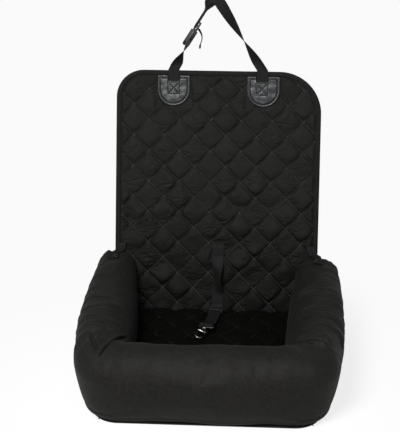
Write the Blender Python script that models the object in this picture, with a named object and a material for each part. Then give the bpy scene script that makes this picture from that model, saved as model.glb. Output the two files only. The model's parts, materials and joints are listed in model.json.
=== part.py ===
# Dog car seat: a padded bed with a U of bolsters, a quilted back panel that folds down over it,
# a strap that hangs the panel from a headrest, and a harness tether with a snap hook.
# X runs to the right seen from the front, Y to the back and Z up. The origin is on the middle line
# of the flat underside, 0.200 behind its front edge. Lengths are metres.
import math

import bmesh
import bpy
from mathutils import Matrix, Vector

# Clearances
GAP = 0.0003
CUT_OVERRUN = 0.010

# Back panel, measured along its front face from the seat line
LEAN_ANGLE = math.radians(17.87)
PANEL_WIDTH = 0.465
SEAT_LINE_Y = 0.215
SEAT_LINE_Z = 0.0475
FOLD_ABOVE_SEAT = 0.160
UPPER_PANEL_LENGTH = 0.386
LEFT_CORNER_RADIUS = 0.062
RIGHT_CORNER_RADIUS = 0.095
PAD_BASE_THICKNESS = 0.003
PANEL_BOARD_THICKNESS = 0.003
BACK_COVER_THICKNESS = 0.002
BINDING_WALL = 0.0015
BINDING_WIDTH = 0.0107
FOLD_RELIEF = 0.0026
CORNER_STEPS = 8

# Diamond quilting
QUILT_DIAGONAL = 0.070
QUILT_CROWN = 0.0055
SEAM_LIFT = 0.0006
QUILT_TAPER = 0.016
CELL_STEPS = 3
QUILT_CENTRE_X = -0.0175
QUILT_CENTRE_ABOVE_SEAT = 0.014

# Underside and base
COVER_WIDTH = 0.470
COVER_FRONT = -0.2000
COVER_REAR = 0.2135
COVER_THICKNESS = 0.0022
COVER_CORNER_RADIUS = 0.055
BASE_BOARD_WIDTH = 0.370
BASE_BOARD_FRONT = -0.138
BASE_BOARD_REAR = 0.188
BASE_BOARD_THICKNESS = 0.003
BASE_BOARD_CORNER_RADIUS = 0.020

# Seat cushion
CUSHION_WIDTH = 0.340
CUSHION_FRONT = -0.1125
CUSHION_REAR = 0.198
CUSHION_CORNER_RADIUS = 0.020
CUSHION_REAR_WIDENING_SHARE = 0.050
CUSHION_SEAM_HEIGHT = 0.0440
CUSHION_BROAD_CROWN = 0.0035
CUSHION_EDGE_DROP = 0.0060
CUSHION_EDGE_TAPER = 0.026
CUSHION_QUILT_CROWN = 0.0048
CUSHION_QUILT_Y = -0.020
# the side's profile: shares of the height, each with the inset as a share of half the width
CUSHION_SIDE_SHARES = (
    (-0.2, 0.055),
    (0.0, 0.047),
    (0.176, 0.012),
    (0.456, 0.0),
    (0.69, 0.012),
    (0.865, 0.036),
    (1.2, 0.085),
)

# Bolsters: plan of the U, right half, the left is its mirror image
BOLSTER_HEIGHT = 0.166
BOLSTER_REAR_RISE = 0.007
BOLSTER_WIDEST_HEIGHT = 0.088
BOLSTER_OUTER_REAR_X = 0.2685
BOLSTER_OUTER_CORNER_X = 0.277
BOLSTER_OUTER_BOW = 0.019
BOLSTER_REAR_CLEARANCE = 0.010
BOLSTER_CORNER_INTRUSION = 0.006
BOLSTER_INNER_BOW = -0.004
BOLSTER_OUTER_FRONT_Y = -0.2266
BOLSTER_INNER_FRONT_Y = -0.1056
BOLSTER_FRONT_BOW = 0.004
BOLSTER_OUTER_RADIUS = 0.082
BOLSTER_INNER_RADIUS = 0.014
BOLSTER_REAR_LEAN_OUT = 0.016
BOLSTER_REAR_TILT_LENGTH = 0.150
BOLSTER_TOP_POWER = 2.35
BOLSTER_FOOT_POWER = 2.7
BOLSTER_CORNER_DIP = 0.006
RING_POINTS = 26
SIDE_STATIONS = 11
CORNER_STATIONS = 8
FRONT_STATIONS = 9

# Rear ties that hold the bolsters to the panel, with press studs
TIE_X = 0.226
TIE_WIDTH = 0.022
TIE_THICKNESS = 0.0015
TIE_PANEL_LENGTH = 0.016
TIE_FORWARD_LENGTH = 0.036
TIE_BEND_RADIUS = 0.006
TIE_BEND_STEPS = 5
STUD_RADIUS = 0.0062
STUD_HEIGHT = 0.0024
STUD_FROM_END = 0.010

# Webbing
WEB_WIDTH = 0.0255
WEB_THICKNESS = 0.0015

# Leather patches and the strap ends below them
LEFT_PATCH_X = -0.1023
RIGHT_PATCH_X = 0.1010
PATCH_WIDTH = 0.0745
PATCH_HEIGHT = 0.0700
PATCH_BODY = 0.0041
PATCH_NOTCH_DEPTH = 0.0130
PATCH_ARC_STEPS = 14
PATCH_CHANNEL_DEPTH = 0.0480
PATCH_RECESS_LEVEL = 0.0010
RIGHT_STRAP_FOOT_X = 0.0980
STRAP_HINGE_RISE = 0.0020

# Headrest strap, its places measured in the panel's plane from the fold
BUCKLE_X = -0.0766
BUCKLE_ABOVE_HINGE = 0.0565
BUCKLE_TILT = math.radians(32.0)
BUCKLE_TURN = math.radians(74.0)
APEX_X = -0.0090
APEX_ABOVE_HINGE = 0.1630
APEX_BEND_RADIUS = 0.0024
APEX_BEND_STEPS = 8
APEX_TURN = math.radians(172.0)
APEX_BLEND_SHARE = 0.75
LEFT_TWIST_START = 0.14
LEFT_TWIST_POWER = 1.5
RIGHT_TWIST_POWER = 1.43
STRAND_STEPS = 4
STRAND_SETTLING_SHARE = 3.0
TWIST_STEPS = 12
LOOP_STEPS = 10

# Side-release buckle, along its own length from the bar of the socket
SOCKET_WIDTH = 0.0320
SOCKET_THICKNESS = 0.0110
SOCKET_BODY_START = 0.0065
SOCKET_BODY_LENGTH = 0.0310
SOCKET_WALL = 0.0018
SOCKET_BAR_RADIUS = 0.0019
SOCKET_ARM_WIDTH = 0.0026
SOCKET_WINDOW_LENGTH = 0.0130
SOCKET_WINDOW_START = 0.0045
PLUG_FRAME_LENGTH = 0.0215
PLUG_FRAME_THICKNESS = 0.0042
PLUG_BAR = 0.0030
PLUG_RAIL = 0.0026
PLUG_TONGUE_WIDTH = 0.0060
PLUG_TONGUE_LENGTH = 0.0240
PRONG_WIDTH = 0.0030
PRONG_THICKNESS = 0.0046
PRONG_LENGTH = 0.0225
PRONG_TIP_LENGTH = 0.0095
PRONG_INSET = 0.0012
PLUG_TRAVEL = 0.024
TAIL_LENGTH = 0.0430
TAIL_REACH_SHARE = 0.72
TAIL_FLARE = 1.5
TAIL_DROP_SHARE = 0.33
TAIL_MIDDLE_SHARE = 0.25

# Harness tether
TETHER_X = 0.0050
TETHER_SEWN_TOP = 0.1550
TETHER_SEWN_LENGTH = 0.0300
TETHER_RECESS_MARGIN = 0.0100
TETHER_BEND_RADIUS = 0.0100
TETHER_BEND_STEPS = 6
TETHER_SETTLED_SHARE = 0.70
TETHER_DRIFT = math.radians(10.0)
TETHER_RISE = 0.0062
TETHER_RISE_LENGTH = 0.0240
EYE_BAR_RADIUS = 0.0019
EYE_YAW = math.radians(8.0)
EYE_INNER_WIDTH = 0.0290
EYE_LENGTH = 0.0128
EYE_CORNER_SHARE = 1.2
LOOP_LENGTH = 0.0150
LOOP_SLACK = 0.0006
LOOP_ENTRY_SHARE = 0.8
EYE_NECK_RADIUS = 0.0040
EYE_NECK_LENGTH = 0.0040
SWIVEL_PIN_RADIUS = 0.0018
SWIVEL_PIN_LENGTH = 0.0055

# Tri-glide slider on the tether
SLIDER_WIDTH = 0.0315
SLIDER_LENGTH = 0.0170
SLIDER_BAR = 0.0030
SLIDER_RAIL = 0.0024
SLIDER_PLATE = 0.0015
SLIDER_TRAVEL = 0.030

# Snap hook, along its own axis from the swivel
HOOK_COLLAR_RADIUS = 0.0052
HOOK_COLLAR_LENGTH = 0.0065
HOOK_BLOCK_START = 0.0050
HOOK_BLOCK_LENGTH = 0.0150
HOOK_BLOCK_HEIGHT = 0.0074
HOOK_BLOCK_ROUND_SHARE = 0.25
GATE_BORE_PAST = 0.0025
HOOK_SHANK_OFFSET = 0.0072
HOOK_WIRE_RADIUS = 0.0021
HOOK_SHANK_END = 0.0370
HOOK_TIP_BACK = 0.0030
HOOK_ARC_STEPS = 10
HOOK_ROLL = math.radians(20.0)
GATE_RADIUS = 0.0016
GATE_ENGAGED = 0.0030
GATE_TRAVEL = 0.0080
GATE_KNOB_RADIUS = 0.0014
GATE_KNOB_REACH = 0.0062
GATE_KNOB_FROM_TIP = 0.0030
ROUND_SEGMENTS = 16
WIRE_SEGMENTS = 10

# Edges
PLASTIC_BEVEL = 0.0009
METAL_BEVEL = 0.0006
BOARD_BEVEL = 0.0008
BEVEL_SEGMENTS = 2
SHARP_ANGLE = math.radians(35.0)

# Worked out from the sizes above: the bolsters' inner edge keeps to the cushion's sides
BOLSTER_INNER_REAR_X = CUSHION_WIDTH / 2 + BOLSTER_REAR_CLEARANCE
BOLSTER_INNER_CORNER_X = CUSHION_WIDTH / 2 - BOLSTER_CORNER_INTRUSION

# Worked out: depths through the panel, positive towards the front
PAD_BACK = -PAD_BASE_THICKNESS
PANEL_BOARD_FRONT = PAD_BACK - GAP
PANEL_BOARD_BACK = PANEL_BOARD_FRONT - PANEL_BOARD_THICKNESS
BACK_COVER_FRONT = PANEL_BOARD_BACK - GAP
BACK_COVER_BACK = BACK_COVER_FRONT - BACK_COVER_THICKNESS
BINDING_FRONT = GAP + BINDING_WALL
BINDING_BACK = BACK_COVER_BACK - GAP - BINDING_WALL
BACK_PADDING_BACK = BINDING_BACK - GAP
QUILT_FRONT = SEAM_LIFT + QUILT_CROWN
LAYER_INSET = BINDING_WALL + GAP
QUILT_INSET = BINDING_WIDTH + GAP
HALF_PANEL = PANEL_WIDTH / 2
WEB_FRONT_LEVEL = BINDING_FRONT + GAP + WEB_THICKNESS
WEB_BACK_LEVEL = BINDING_FRONT + GAP
PATCH_TOP = UPPER_PANEL_LENGTH - BINDING_WIDTH - GAP
PATCH_BACK = PATCH_RECESS_LEVEL + GAP
PATCH_FRONT = PATCH_BACK + PATCH_BODY
STRAP_HINGE_Y = UPPER_PANEL_LENGTH + STRAP_HINGE_RISE

# Worked out: heights of the base layers
BASE_BOARD_BOTTOM = COVER_THICKNESS + GAP
BASE_BOARD_TOP = BASE_BOARD_BOTTOM + BASE_BOARD_THICKNESS
CUSHION_BOTTOM = BASE_BOARD_TOP + GAP
CUSHION_TOP = CUSHION_SEAM_HEIGHT + CUSHION_BROAD_CROWN + CUSHION_QUILT_CROWN
BOLSTER_FOOT = COVER_THICKNESS + GAP
TETHER_LEVEL = CUSHION_TOP + GAP + SLIDER_PLATE + GAP + WEB_THICKNESS / 2
TETHER_LEVEL_LENGTH = 2 * SLIDER_LENGTH + SLIDER_TRAVEL

# Worked out: the buckle's parts along its length
SOCKET_MOUTH = SOCKET_BODY_START + SOCKET_BODY_LENGTH
PLUG_FRAME_START = SOCKET_MOUTH + GAP
PLUG_INNER_WIDTH = SOCKET_WIDTH - 2 * PLUG_RAIL


def material(name, colour, roughness, metallic=0.0):
    made = bpy.data.materials.new(name)
    made.use_nodes = True
    shader = made.node_tree.nodes["Principled BSDF"]
    shader.inputs["Base Color"].default_value = (*colour, 1.0)
    shader.inputs["Roughness"].default_value = roughness
    shader.inputs["Metallic"].default_value = metallic
    return made


def finished(name, mesh_data, surface, parent=None, place=None):
    """Adds one sub-part: its normals point out, its round faces are smooth."""
    recalculated = bmesh.new()
    recalculated.from_mesh(mesh_data)
    bmesh.ops.recalc_face_normals(recalculated, faces=recalculated.faces)
    recalculated.to_mesh(mesh_data)
    recalculated.free()
    mesh_data.shade_smooth()
    mesh_data.set_sharp_from_angle(angle=SHARP_ANGLE)
    piece = bpy.data.objects.new(name, mesh_data)
    bpy.context.scene.collection.objects.link(piece)
    if surface:
        mesh_data.materials.append(surface)
    if parent:
        piece.parent = parent
    if place:
        piece.location = place
    return piece


def empty(name, place, parent=None, turn=None):
    """A joint's axis or a local frame. It is no sub-part."""
    made = bpy.data.objects.new(name, None)
    bpy.context.scene.collection.objects.link(made)
    made.parent = parent
    made.location = place
    if turn:
        made.rotation_euler = turn
    return made


def helper(piece):
    """Marks a cutter or an envelope, which isn't part of the object."""
    piece.hide_render = True
    piece.display_type = "WIRE"
    return piece


def combine(piece, other, operation):
    step = piece.modifiers.new(f"{operation.lower()} {other.name}", "BOOLEAN")
    step.operation = operation
    step.solver = "EXACT"
    step.object = other


def soften(piece, width, segments=BEVEL_SEGMENTS):
    step = piece.modifiers.new("edges", "BEVEL")
    step.width = width
    step.segments = segments
    step.limit_method = "ANGLE"
    step.angle_limit = SHARP_ANGLE


def loft_mesh(name, rings, closed=False):
    """Skins equal rings of points in order and caps the two ends, or joins the last to the first."""
    shape = bmesh.new()
    rows = [[shape.verts.new(point) for point in ring] for ring in rings]
    pairs = list(zip(rows, rows[1:]))
    if closed:
        pairs.append((rows[-1], rows[0]))
    for near, far in pairs:
        for k in range(len(near)):
            following = (k + 1) % len(near)
            shape.faces.new((near[k], near[following], far[following], far[k]))
    if not closed:
        shape.faces.new(rows[0])
        shape.faces.new(list(reversed(rows[-1])))
    made = bpy.data.meshes.new(name)
    shape.to_mesh(made)
    shape.free()
    return made


def prism_mesh(name, outline, low, high):
    """An outline in X and Y, drawn up from low to high."""
    return loft_mesh(name, [[(x, y, low) for x, y in outline], [(x, y, high) for x, y in outline]])


def block_mesh(name, low, high):
    outline = [(low[0], low[1]), (high[0], low[1]), (high[0], high[1]), (low[0], high[1])]
    return prism_mesh(name, outline, low[2], high[2])


def cylinder_mesh(name, start, end, radius, segments=ROUND_SEGMENTS):
    """A round bar from start to end."""
    start, end = Vector(start), Vector(end)
    along = (end - start).normalized()
    side = along.orthogonal().normalized()
    other = along.cross(side)
    turns = [2 * math.pi * k / segments for k in range(segments)]
    ring = [side * radius * math.cos(a) + other * radius * math.sin(a) for a in turns]
    return loft_mesh(name, [[start + p for p in ring], [end + p for p in ring]])


def wire_mesh(name, path, radius, segments=WIRE_SEGMENTS, normal=Vector((0, 0, 1))):
    """A round bar along a path that stays in the plane across normal."""
    rings = []
    for k, point in enumerate(path):
        before = path[max(k - 1, 0)]
        after = path[min(k + 1, len(path) - 1)]
        along = (Vector(after) - Vector(before)).normalized()
        side = along.cross(normal).normalized()
        turns = [2 * math.pi * j / segments for j in range(segments)]
        rings.append(
            [Vector(point) + side * radius * math.cos(a) + normal * radius * math.sin(a) for a in turns]
        )
    return loft_mesh(name, rings)


def ribbon_mesh(name, stations, thickness):
    """Flat webbing: each station has a centre, half of its width as a vector, and a unit normal."""
    rings = []
    for centre, half, normal in stations:
        rise = normal * thickness / 2
        left, right = centre - half, centre + half
        rings.append([left - rise, right - rise, right + rise, left + rise])
    return loft_mesh(name, rings)


def blended(start, end, share):
    return start + (end - start) * share


def eased(share):
    share = min(max(share, 0.0), 1.0)
    return share * share * (3 - 2 * share)


def smooth_line(points, steps):
    """A smooth curve through points, each stretch in equal steps."""
    points = [Vector(p) for p in points]
    padded = [points[0] * 2 - points[1], *points, points[-1] * 2 - points[-2]]
    line = [points[0]]
    for k in range(len(points) - 1):
        a, b, c, d = padded[k : k + 4]
        for j in range(1, steps + 1):
            t = j / steps
            bend = (a * 2 - b * 5 + c * 4 - d) * t**2
            line.append((b * 2 + (c - a) * t + bend + (b * 3 - a - c * 3 + d) * t**3) / 2)
    return line


def rounded_rectangle(half_width, front, rear, radius, steps=CORNER_STEPS):
    corners = [
        (half_width - radius, rear - radius, 0),
        (-half_width + radius, rear - radius, 1),
        (-half_width + radius, front + radius, 2),
        (half_width - radius, front + radius, 3),
    ]
    outline = []
    for x, y, quarter in corners:
        for k in range(steps + 1):
            angle = (quarter + k / steps) * math.pi / 2
            outline.append((x + radius * math.cos(angle), y + radius * math.sin(angle)))
    return outline


def panel_edge(inset):
    """The upper panel's edge from its lower left end over the top to its lower right end, in X and Y
    from the fold, with the direction that points inwards at each place."""
    left, right, top = -HALF_PANEL, HALF_PANEL, UPPER_PANEL_LENGTH
    edge = []
    for radius, sign in ((LEFT_CORNER_RADIUS, -1), (RIGHT_CORNER_RADIUS, 1)):
        centre = Vector((left + radius if sign < 0 else right - radius, top - radius))
        first = math.pi if sign < 0 else math.pi / 2
        for k in range(CORNER_STEPS + 1):
            angle = first - k / CORNER_STEPS * math.pi / 2
            outward = Vector((math.cos(angle), math.sin(angle)))
            edge.append((centre + outward * (radius - inset), -outward))
    return edge


def panel_outline(inset, foot):
    corner_points = [(p.x, p.y) for p, _ in panel_edge(inset)]
    half = HALF_PANEL - inset
    return [(-half, foot), *corner_points, (half, foot)]


def quilt_share(x, y, centre_x, centre_y):
    """0 on the stitched lines of the diamonds, 1 in the middle of a diamond."""
    p = (x - centre_x + y - centre_y) / QUILT_DIAGONAL
    q = (x - centre_x - y + centre_y) / QUILT_DIAGONAL
    return abs(math.sin(math.pi * p)) * abs(math.sin(math.pi * q))


def quilted_mesh(name, low, high, centre, height, bottom):
    """A closed solid with a flat bottom whose top is a grid that follows the diamonds, past low and
    high on every side. height gives the top's level at a place."""
    shape = bmesh.new()
    grid = {}
    step = QUILT_DIAGONAL / CELL_STEPS

    def place(i, j):
        return centre[0] + (i + j) * step / 2, centre[1] + (i - j) * step / 2

    def corner(i, j):
        if (i, j) not in grid:
            x, y = place(i, j)
            grid[i, j] = shape.verts.new((x, y, height(x, y)))
        return grid[i, j]

    reach = math.ceil((max(abs(v) for v in (*low, *high)) + QUILT_DIAGONAL) / step) * 2
    for i in range(-reach, reach):
        for j in range(-reach, reach):
            x, y = place(i + 0.5, j + 0.5)
            if low[0] - step < x < high[0] + step and low[1] - step < y < high[1] + step:
                shape.faces.new((corner(i, j), corner(i + 1, j), corner(i + 1, j + 1), corner(i, j + 1)))
    rim = [edge for edge in shape.edges if edge.is_boundary]
    walls = bmesh.ops.extrude_edge_only(shape, edges=rim)["geom"]
    for vert in (v for v in walls if isinstance(v, bmesh.types.BMVert)):
        vert.co.z = bottom
    bmesh.ops.contextual_create(shape, geom=[e for e in walls if isinstance(e, bmesh.types.BMEdge)])
    bmesh.ops.triangulate(shape, faces=shape.faces)
    made = bpy.data.meshes.new(name)
    shape.to_mesh(made)
    shape.free()
    return made


def quilted_pad(name, outline, quilt_outline, low, high, centre, taper, surface, parent):
    """A thin quilted layer: a flat border that goes into the binding, and the diamonds inside it."""

    def height(x, y):
        return SEAM_LIFT + QUILT_CROWN * quilt_share(x, y, *centre) * eased(taper(x, y) / QUILT_TAPER)

    sheet = quilted_mesh(name, low, high, centre, height, PAD_BACK - CUT_OVERRUN)
    pad = finished(name, sheet, surface, parent)
    above = QUILT_FRONT + CUT_OVERRUN
    levels = ((outline, PAD_BACK), (outline, 0.0), (quilt_outline, 0.0), (quilt_outline, above))
    rings = [[(x, y, level) for x, y in edge] for edge, level in levels]
    envelope = helper(finished(f"{name} envelope", loft_mesh(name, rings), None, parent))
    combine(pad, envelope, "INTERSECT")
    return pad


def binding_ring(point, inward):
    """The tape's section: a channel that holds the edges of all the panel's layers."""
    inner_front, inner_back = BINDING_FRONT - BINDING_WALL, BINDING_BACK + BINDING_WALL
    section = [
        (0.0, BINDING_BACK),
        (0.0, BINDING_FRONT),
        (BINDING_WIDTH, BINDING_FRONT),
        (BINDING_WIDTH, inner_front),
        (BINDING_WALL, inner_front),
        (BINDING_WALL, inner_back),
        (BINDING_WIDTH, inner_back),
        (BINDING_WIDTH, BINDING_BACK),
    ]
    return [(point.x + inward.x * r, point.y + inward.y * r, t) for r, t in section]


def panel_foot(depth):
    """How far below the seat line a layer with its back at this depth stands on the underside's sheet."""
    rise = COVER_THICKNESS + GAP - SEAT_LINE_Z - depth * math.sin(LEAN_ANGLE)
    return rise / math.cos(LEAN_ANGLE)


def back_cover_mesh(name, edge, middle):
    """The back cover: its edge lies in the binding and its padded middle stands out behind that."""
    levels = (
        (edge, BACK_COVER_FRONT),
        (edge, BACK_COVER_BACK),
        (middle, BACK_COVER_BACK),
        (middle, BACK_PADDING_BACK),
    )
    return loft_mesh(name, [[(x, y, level) for x, y in outline] for outline, level in levels])


def build_panel(fabric, tape, board, seat_frame, fold):
    """The upper panel folds about the fold line; the lower panel stays with the bed."""
    half = HALF_PANEL - LAYER_INSET
    quilt_half = HALF_PANEL - QUILT_INSET
    foot = panel_foot(PAD_BACK)
    top = FOLD_ABOVE_SEAT - GAP / 2

    def rectangle(width, low, high):
        return [(-width, low), (width, low), (width, high), (-width, high)]

    def lower_taper(x, y):
        return min(quilt_half - abs(x), FOLD_ABOVE_SEAT - y)

    def upper_taper(x, y):
        return min(quilt_half - abs(x), y, UPPER_PANEL_LENGTH - QUILT_INSET - y)

    lower_pad = quilted_pad(
        "lower_panel_pad",
        rectangle(half, foot, top),
        rectangle(quilt_half, foot + GAP, FOLD_ABOVE_SEAT - FOLD_RELIEF),
        (-half, foot),
        (half, FOLD_ABOVE_SEAT),
        (QUILT_CENTRE_X, QUILT_CENTRE_ABOVE_SEAT),
        lower_taper,
        fabric,
        seat_frame,
    )
    upper_pad = quilted_pad(
        "upper_panel_pad",
        panel_outline(LAYER_INSET, GAP / 2),
        panel_outline(QUILT_INSET, FOLD_RELIEF),
        (-half, 0.0),
        (half, UPPER_PANEL_LENGTH),
        (QUILT_CENTRE_X, QUILT_CENTRE_ABOVE_SEAT - FOLD_ABOVE_SEAT),
        upper_taper,
        fabric,
        fold,
    )
    back, front = PANEL_BOARD_BACK, PANEL_BOARD_FRONT
    lower = prism_mesh("lower board", rectangle(half, panel_foot(back), top), back, front)
    finished("lower_panel_board", lower, board, seat_frame)
    upper = prism_mesh("upper board", panel_outline(LAYER_INSET, GAP / 2), back, front)
    finished("upper_panel_board", upper, board, fold)
    edge = rectangle(half, panel_foot(BACK_COVER_BACK), top)
    middle = rectangle(quilt_half, panel_foot(BACK_PADDING_BACK), FOLD_ABOVE_SEAT - FOLD_RELIEF)
    finished("lower_panel_back", back_cover_mesh("lower back", edge, middle), fabric, seat_frame)
    edge, middle = panel_outline(LAYER_INSET, GAP / 2), panel_outline(QUILT_INSET, FOLD_RELIEF)
    finished("upper_panel_back", back_cover_mesh("upper back", edge, middle), fabric, fold)

    edge = panel_edge(0.0)
    ends = (
        (Vector((-HALF_PANEL, FOLD_RELIEF)), Vector((1, 0))),
        (Vector((HALF_PANEL, FOLD_RELIEF)), Vector((-1, 0))),
    )
    rings = [binding_ring(*place) for place in (ends[0], *edge, ends[1])]
    finished("upper_binding", loft_mesh("upper_binding", rings), tape, fold)
    for side, sign in (("left", -1), ("right", 1)):
        inward = Vector((-sign, 0))
        low = Vector((sign * HALF_PANEL, panel_foot(BINDING_BACK)))
        high = Vector((sign * HALF_PANEL, FOLD_ABOVE_SEAT - FOLD_RELIEF))
        rings = [binding_ring(low, inward), binding_ring(high, inward)]
        name = f"lower_binding_{side}"
        finished(name, loft_mesh(name, rings), tape, seat_frame)
    return lower_pad, upper_pad


def patch_outline(centre_x, grown):
    """A tongue shape: straight sides and top, and a half round below."""
    radius = PATCH_WIDTH / 2 + grown
    low = PATCH_TOP - PATCH_HEIGHT + PATCH_WIDTH / 2
    points = [(centre_x + radius, PATCH_TOP), (centre_x - radius, PATCH_TOP)]
    for k in range(PATCH_ARC_STEPS + 1):
        angle = math.pi * (1 + k / PATCH_ARC_STEPS)
        points.append((centre_x + radius * math.cos(angle), low + radius * math.sin(angle)))
    return points


def build_patches(leather, webbing, upper_pad, fold):
    """Each leather patch covers the sewn end of the strap, which comes out at a notch in its top."""
    places = (("left", LEFT_PATCH_X, LEFT_PATCH_X), ("right", RIGHT_PATCH_X, RIGHT_STRAP_FOOT_X))
    half_web = WEB_WIDTH / 2
    for side, patch_x, web_x in places:
        recess_outline = [
            (x, y + CUT_OVERRUN if y == PATCH_TOP else y) for x, y in patch_outline(patch_x, GAP)
        ]
        recess = prism_mesh("recess", recess_outline, PATCH_RECESS_LEVEL, QUILT_FRONT + CUT_OVERRUN)
        combine(upper_pad, helper(finished(f"{side} patch recess", recess, None, fold)), "DIFFERENCE")
        name = f"{side}_patch"
        tongue = prism_mesh(name, patch_outline(patch_x, 0.0), PATCH_BACK, PATCH_FRONT)
        patch = finished(name, tongue, leather, fold)
        channel = block_mesh(
            "channel",
            (web_x - half_web - GAP, PATCH_TOP - PATCH_CHANNEL_DEPTH - GAP, PATCH_BACK - CUT_OVERRUN),
            (web_x + half_web + GAP, PATCH_TOP + CUT_OVERRUN, WEB_FRONT_LEVEL + GAP),
        )
        notch = block_mesh(
            "notch",
            (web_x - half_web - GAP, PATCH_TOP - PATCH_NOTCH_DEPTH, PATCH_BACK - CUT_OVERRUN),
            (web_x + half_web + GAP, PATCH_TOP + CUT_OVERRUN, PATCH_FRONT + CUT_OVERRUN),
        )
        combine(patch, helper(finished(f"{side} patch channel", channel, None, fold)), "DIFFERENCE")
        combine(patch, helper(finished(f"{side} patch notch", notch, None, fold)), "DIFFERENCE")
        anchor = block_mesh(
            f"{side}_strap_anchor",
            (web_x - half_web, PATCH_TOP - PATCH_CHANNEL_DEPTH, WEB_BACK_LEVEL),
            (web_x + half_web, STRAP_HINGE_Y - GAP / 2, WEB_FRONT_LEVEL),
        )
        finished(f"{side}_strap_anchor", anchor, webbing, fold)


def bolster_edge(rear_x, corner_x, bow, front_y, front_bow, radius, rear_y):
    """One edge of the U in plan, right half, from the rear end round the corner to the middle of the
    front, with the same number of places on the inner and the outer edge."""
    places = []
    corner_y = front_y + radius
    for k in range(SIDE_STATIONS):
        share = k / SIDE_STATIONS
        x = blended(rear_x, corner_x, share) + bow * math.sin(math.pi * share)
        places.append(Vector((x, blended(rear_y, corner_y, share))))
    for k in range(CORNER_STATIONS + 1):
        angle = -k / CORNER_STATIONS * math.pi / 2
        x = corner_x - radius + radius * math.cos(angle)
        places.append(Vector((x, corner_y + radius * math.sin(angle))))
    for k in range(1, FRONT_STATIONS + 1):
        share = k / FRONT_STATIONS
        x = blended(corner_x - radius, 0.0, share)
        places.append(Vector((x, front_y - front_bow * math.sin(math.pi / 2 * share))))
    return places


def superellipse(angle, power):
    c, s = math.cos(angle), math.sin(angle)
    return (
        math.copysign(abs(c) ** (2 / power), c),
        math.copysign(abs(s) ** (2 / power), s),
    )


def bolster_rings():
    """The sections of the right half of the U, from the rear end to the middle of the front."""
    end_depth = QUILT_FRONT + GAP
    rear_y = SEAT_LINE_Y - end_depth / math.cos(LEAN_ANGLE)
    rear_y += (BOLSTER_WIDEST_HEIGHT - SEAT_LINE_Z) * math.tan(LEAN_ANGLE)
    outer = bolster_edge(
        BOLSTER_OUTER_REAR_X, BOLSTER_OUTER_CORNER_X, BOLSTER_OUTER_BOW,
        BOLSTER_OUTER_FRONT_Y, BOLSTER_FRONT_BOW, BOLSTER_OUTER_RADIUS, rear_y,
    )
    inner = bolster_edge(
        BOLSTER_INNER_REAR_X, BOLSTER_INNER_CORNER_X, BOLSTER_INNER_BOW,
        BOLSTER_INNER_FRONT_Y, BOLSTER_FRONT_BOW, BOLSTER_INNER_RADIUS, rear_y,
    )
    rings = []
    for k, (out, inn) in enumerate(zip(outer, inner)):
        back = eased(1 - (rear_y - out.y) / BOLSTER_REAR_TILT_LENGTH)
        corner = abs(k - SIDE_STATIONS - CORNER_STATIONS / 2) / (CORNER_STATIONS / 2)
        top = BOLSTER_HEIGHT + BOLSTER_REAR_RISE * back - BOLSTER_CORNER_DIP * eased(1 - corner)
        ring = []
        for j in range(RING_POINTS):
            angle = 2 * math.pi * (j + 0.5) / RING_POINTS
            power = BOLSTER_TOP_POWER if math.sin(angle) > 0 else BOLSTER_FOOT_POWER
            across, up = superellipse(angle, power)
            rise = top - BOLSTER_WIDEST_HEIGHT if up > 0 else BOLSTER_WIDEST_HEIGHT - BOLSTER_FOOT
            z = BOLSTER_WIDEST_HEIGHT + up * rise
            middle, half = (out + inn) / 2, (out - inn) / 2
            place = middle + half * across
            lean_out = BOLSTER_REAR_LEAN_OUT * back * max(up, 0.0)
            tilt = (z - BOLSTER_WIDEST_HEIGHT) * math.tan(LEAN_ANGLE) * back
            ring.append(Vector((place.x + lean_out, place.y + tilt, z)))
        rings.append(ring)
    return rings


def build_bolsters(fabric):
    """Three filled bolsters that meet at the mitred front corners."""
    rings = bolster_rings()
    mitre = SIDE_STATIONS + CORNER_STATIONS // 2
    joint = rings[mitre]
    across = (joint[0] - joint[RING_POINTS // 2 - 1]).normalized()
    past = Vector((across.y, -across.x, 0)) * GAP / 2
    if past.y > 0:
        past = -past
    for side, sign in (("left", -1), ("right", 1)):
        own = rings[:mitre] + [[p - past for p in joint]]
        flipped = [[Vector((p.x * sign, p.y, p.z)) for p in ring] for ring in own]
        name = f"{side}_bolster"
        finished(name, loft_mesh(name, flipped), fabric)
    half = [[p + past for p in joint]] + rings[mitre + 1 :]
    mirrored = [[Vector((-p.x, p.y, p.z)) for p in ring] for ring in half[:-1]]
    finished("front_bolster", loft_mesh("front_bolster", mirrored + half[::-1]), fabric)


def build_base(fabric, sheet, board):
    outline = rounded_rectangle(COVER_WIDTH / 2, COVER_FRONT, COVER_REAR, COVER_CORNER_RADIUS)
    finished("bottom_cover", prism_mesh("bottom_cover", outline, 0.0, COVER_THICKNESS), sheet)
    half = BASE_BOARD_WIDTH / 2
    outline = rounded_rectangle(half, BASE_BOARD_FRONT, BASE_BOARD_REAR, BASE_BOARD_CORNER_RADIUS)
    plate = prism_mesh("base_board", outline, BASE_BOARD_BOTTOM, BASE_BOARD_TOP)
    soften(finished("base_board", plate, board), BOARD_BEVEL, 1)


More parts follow.
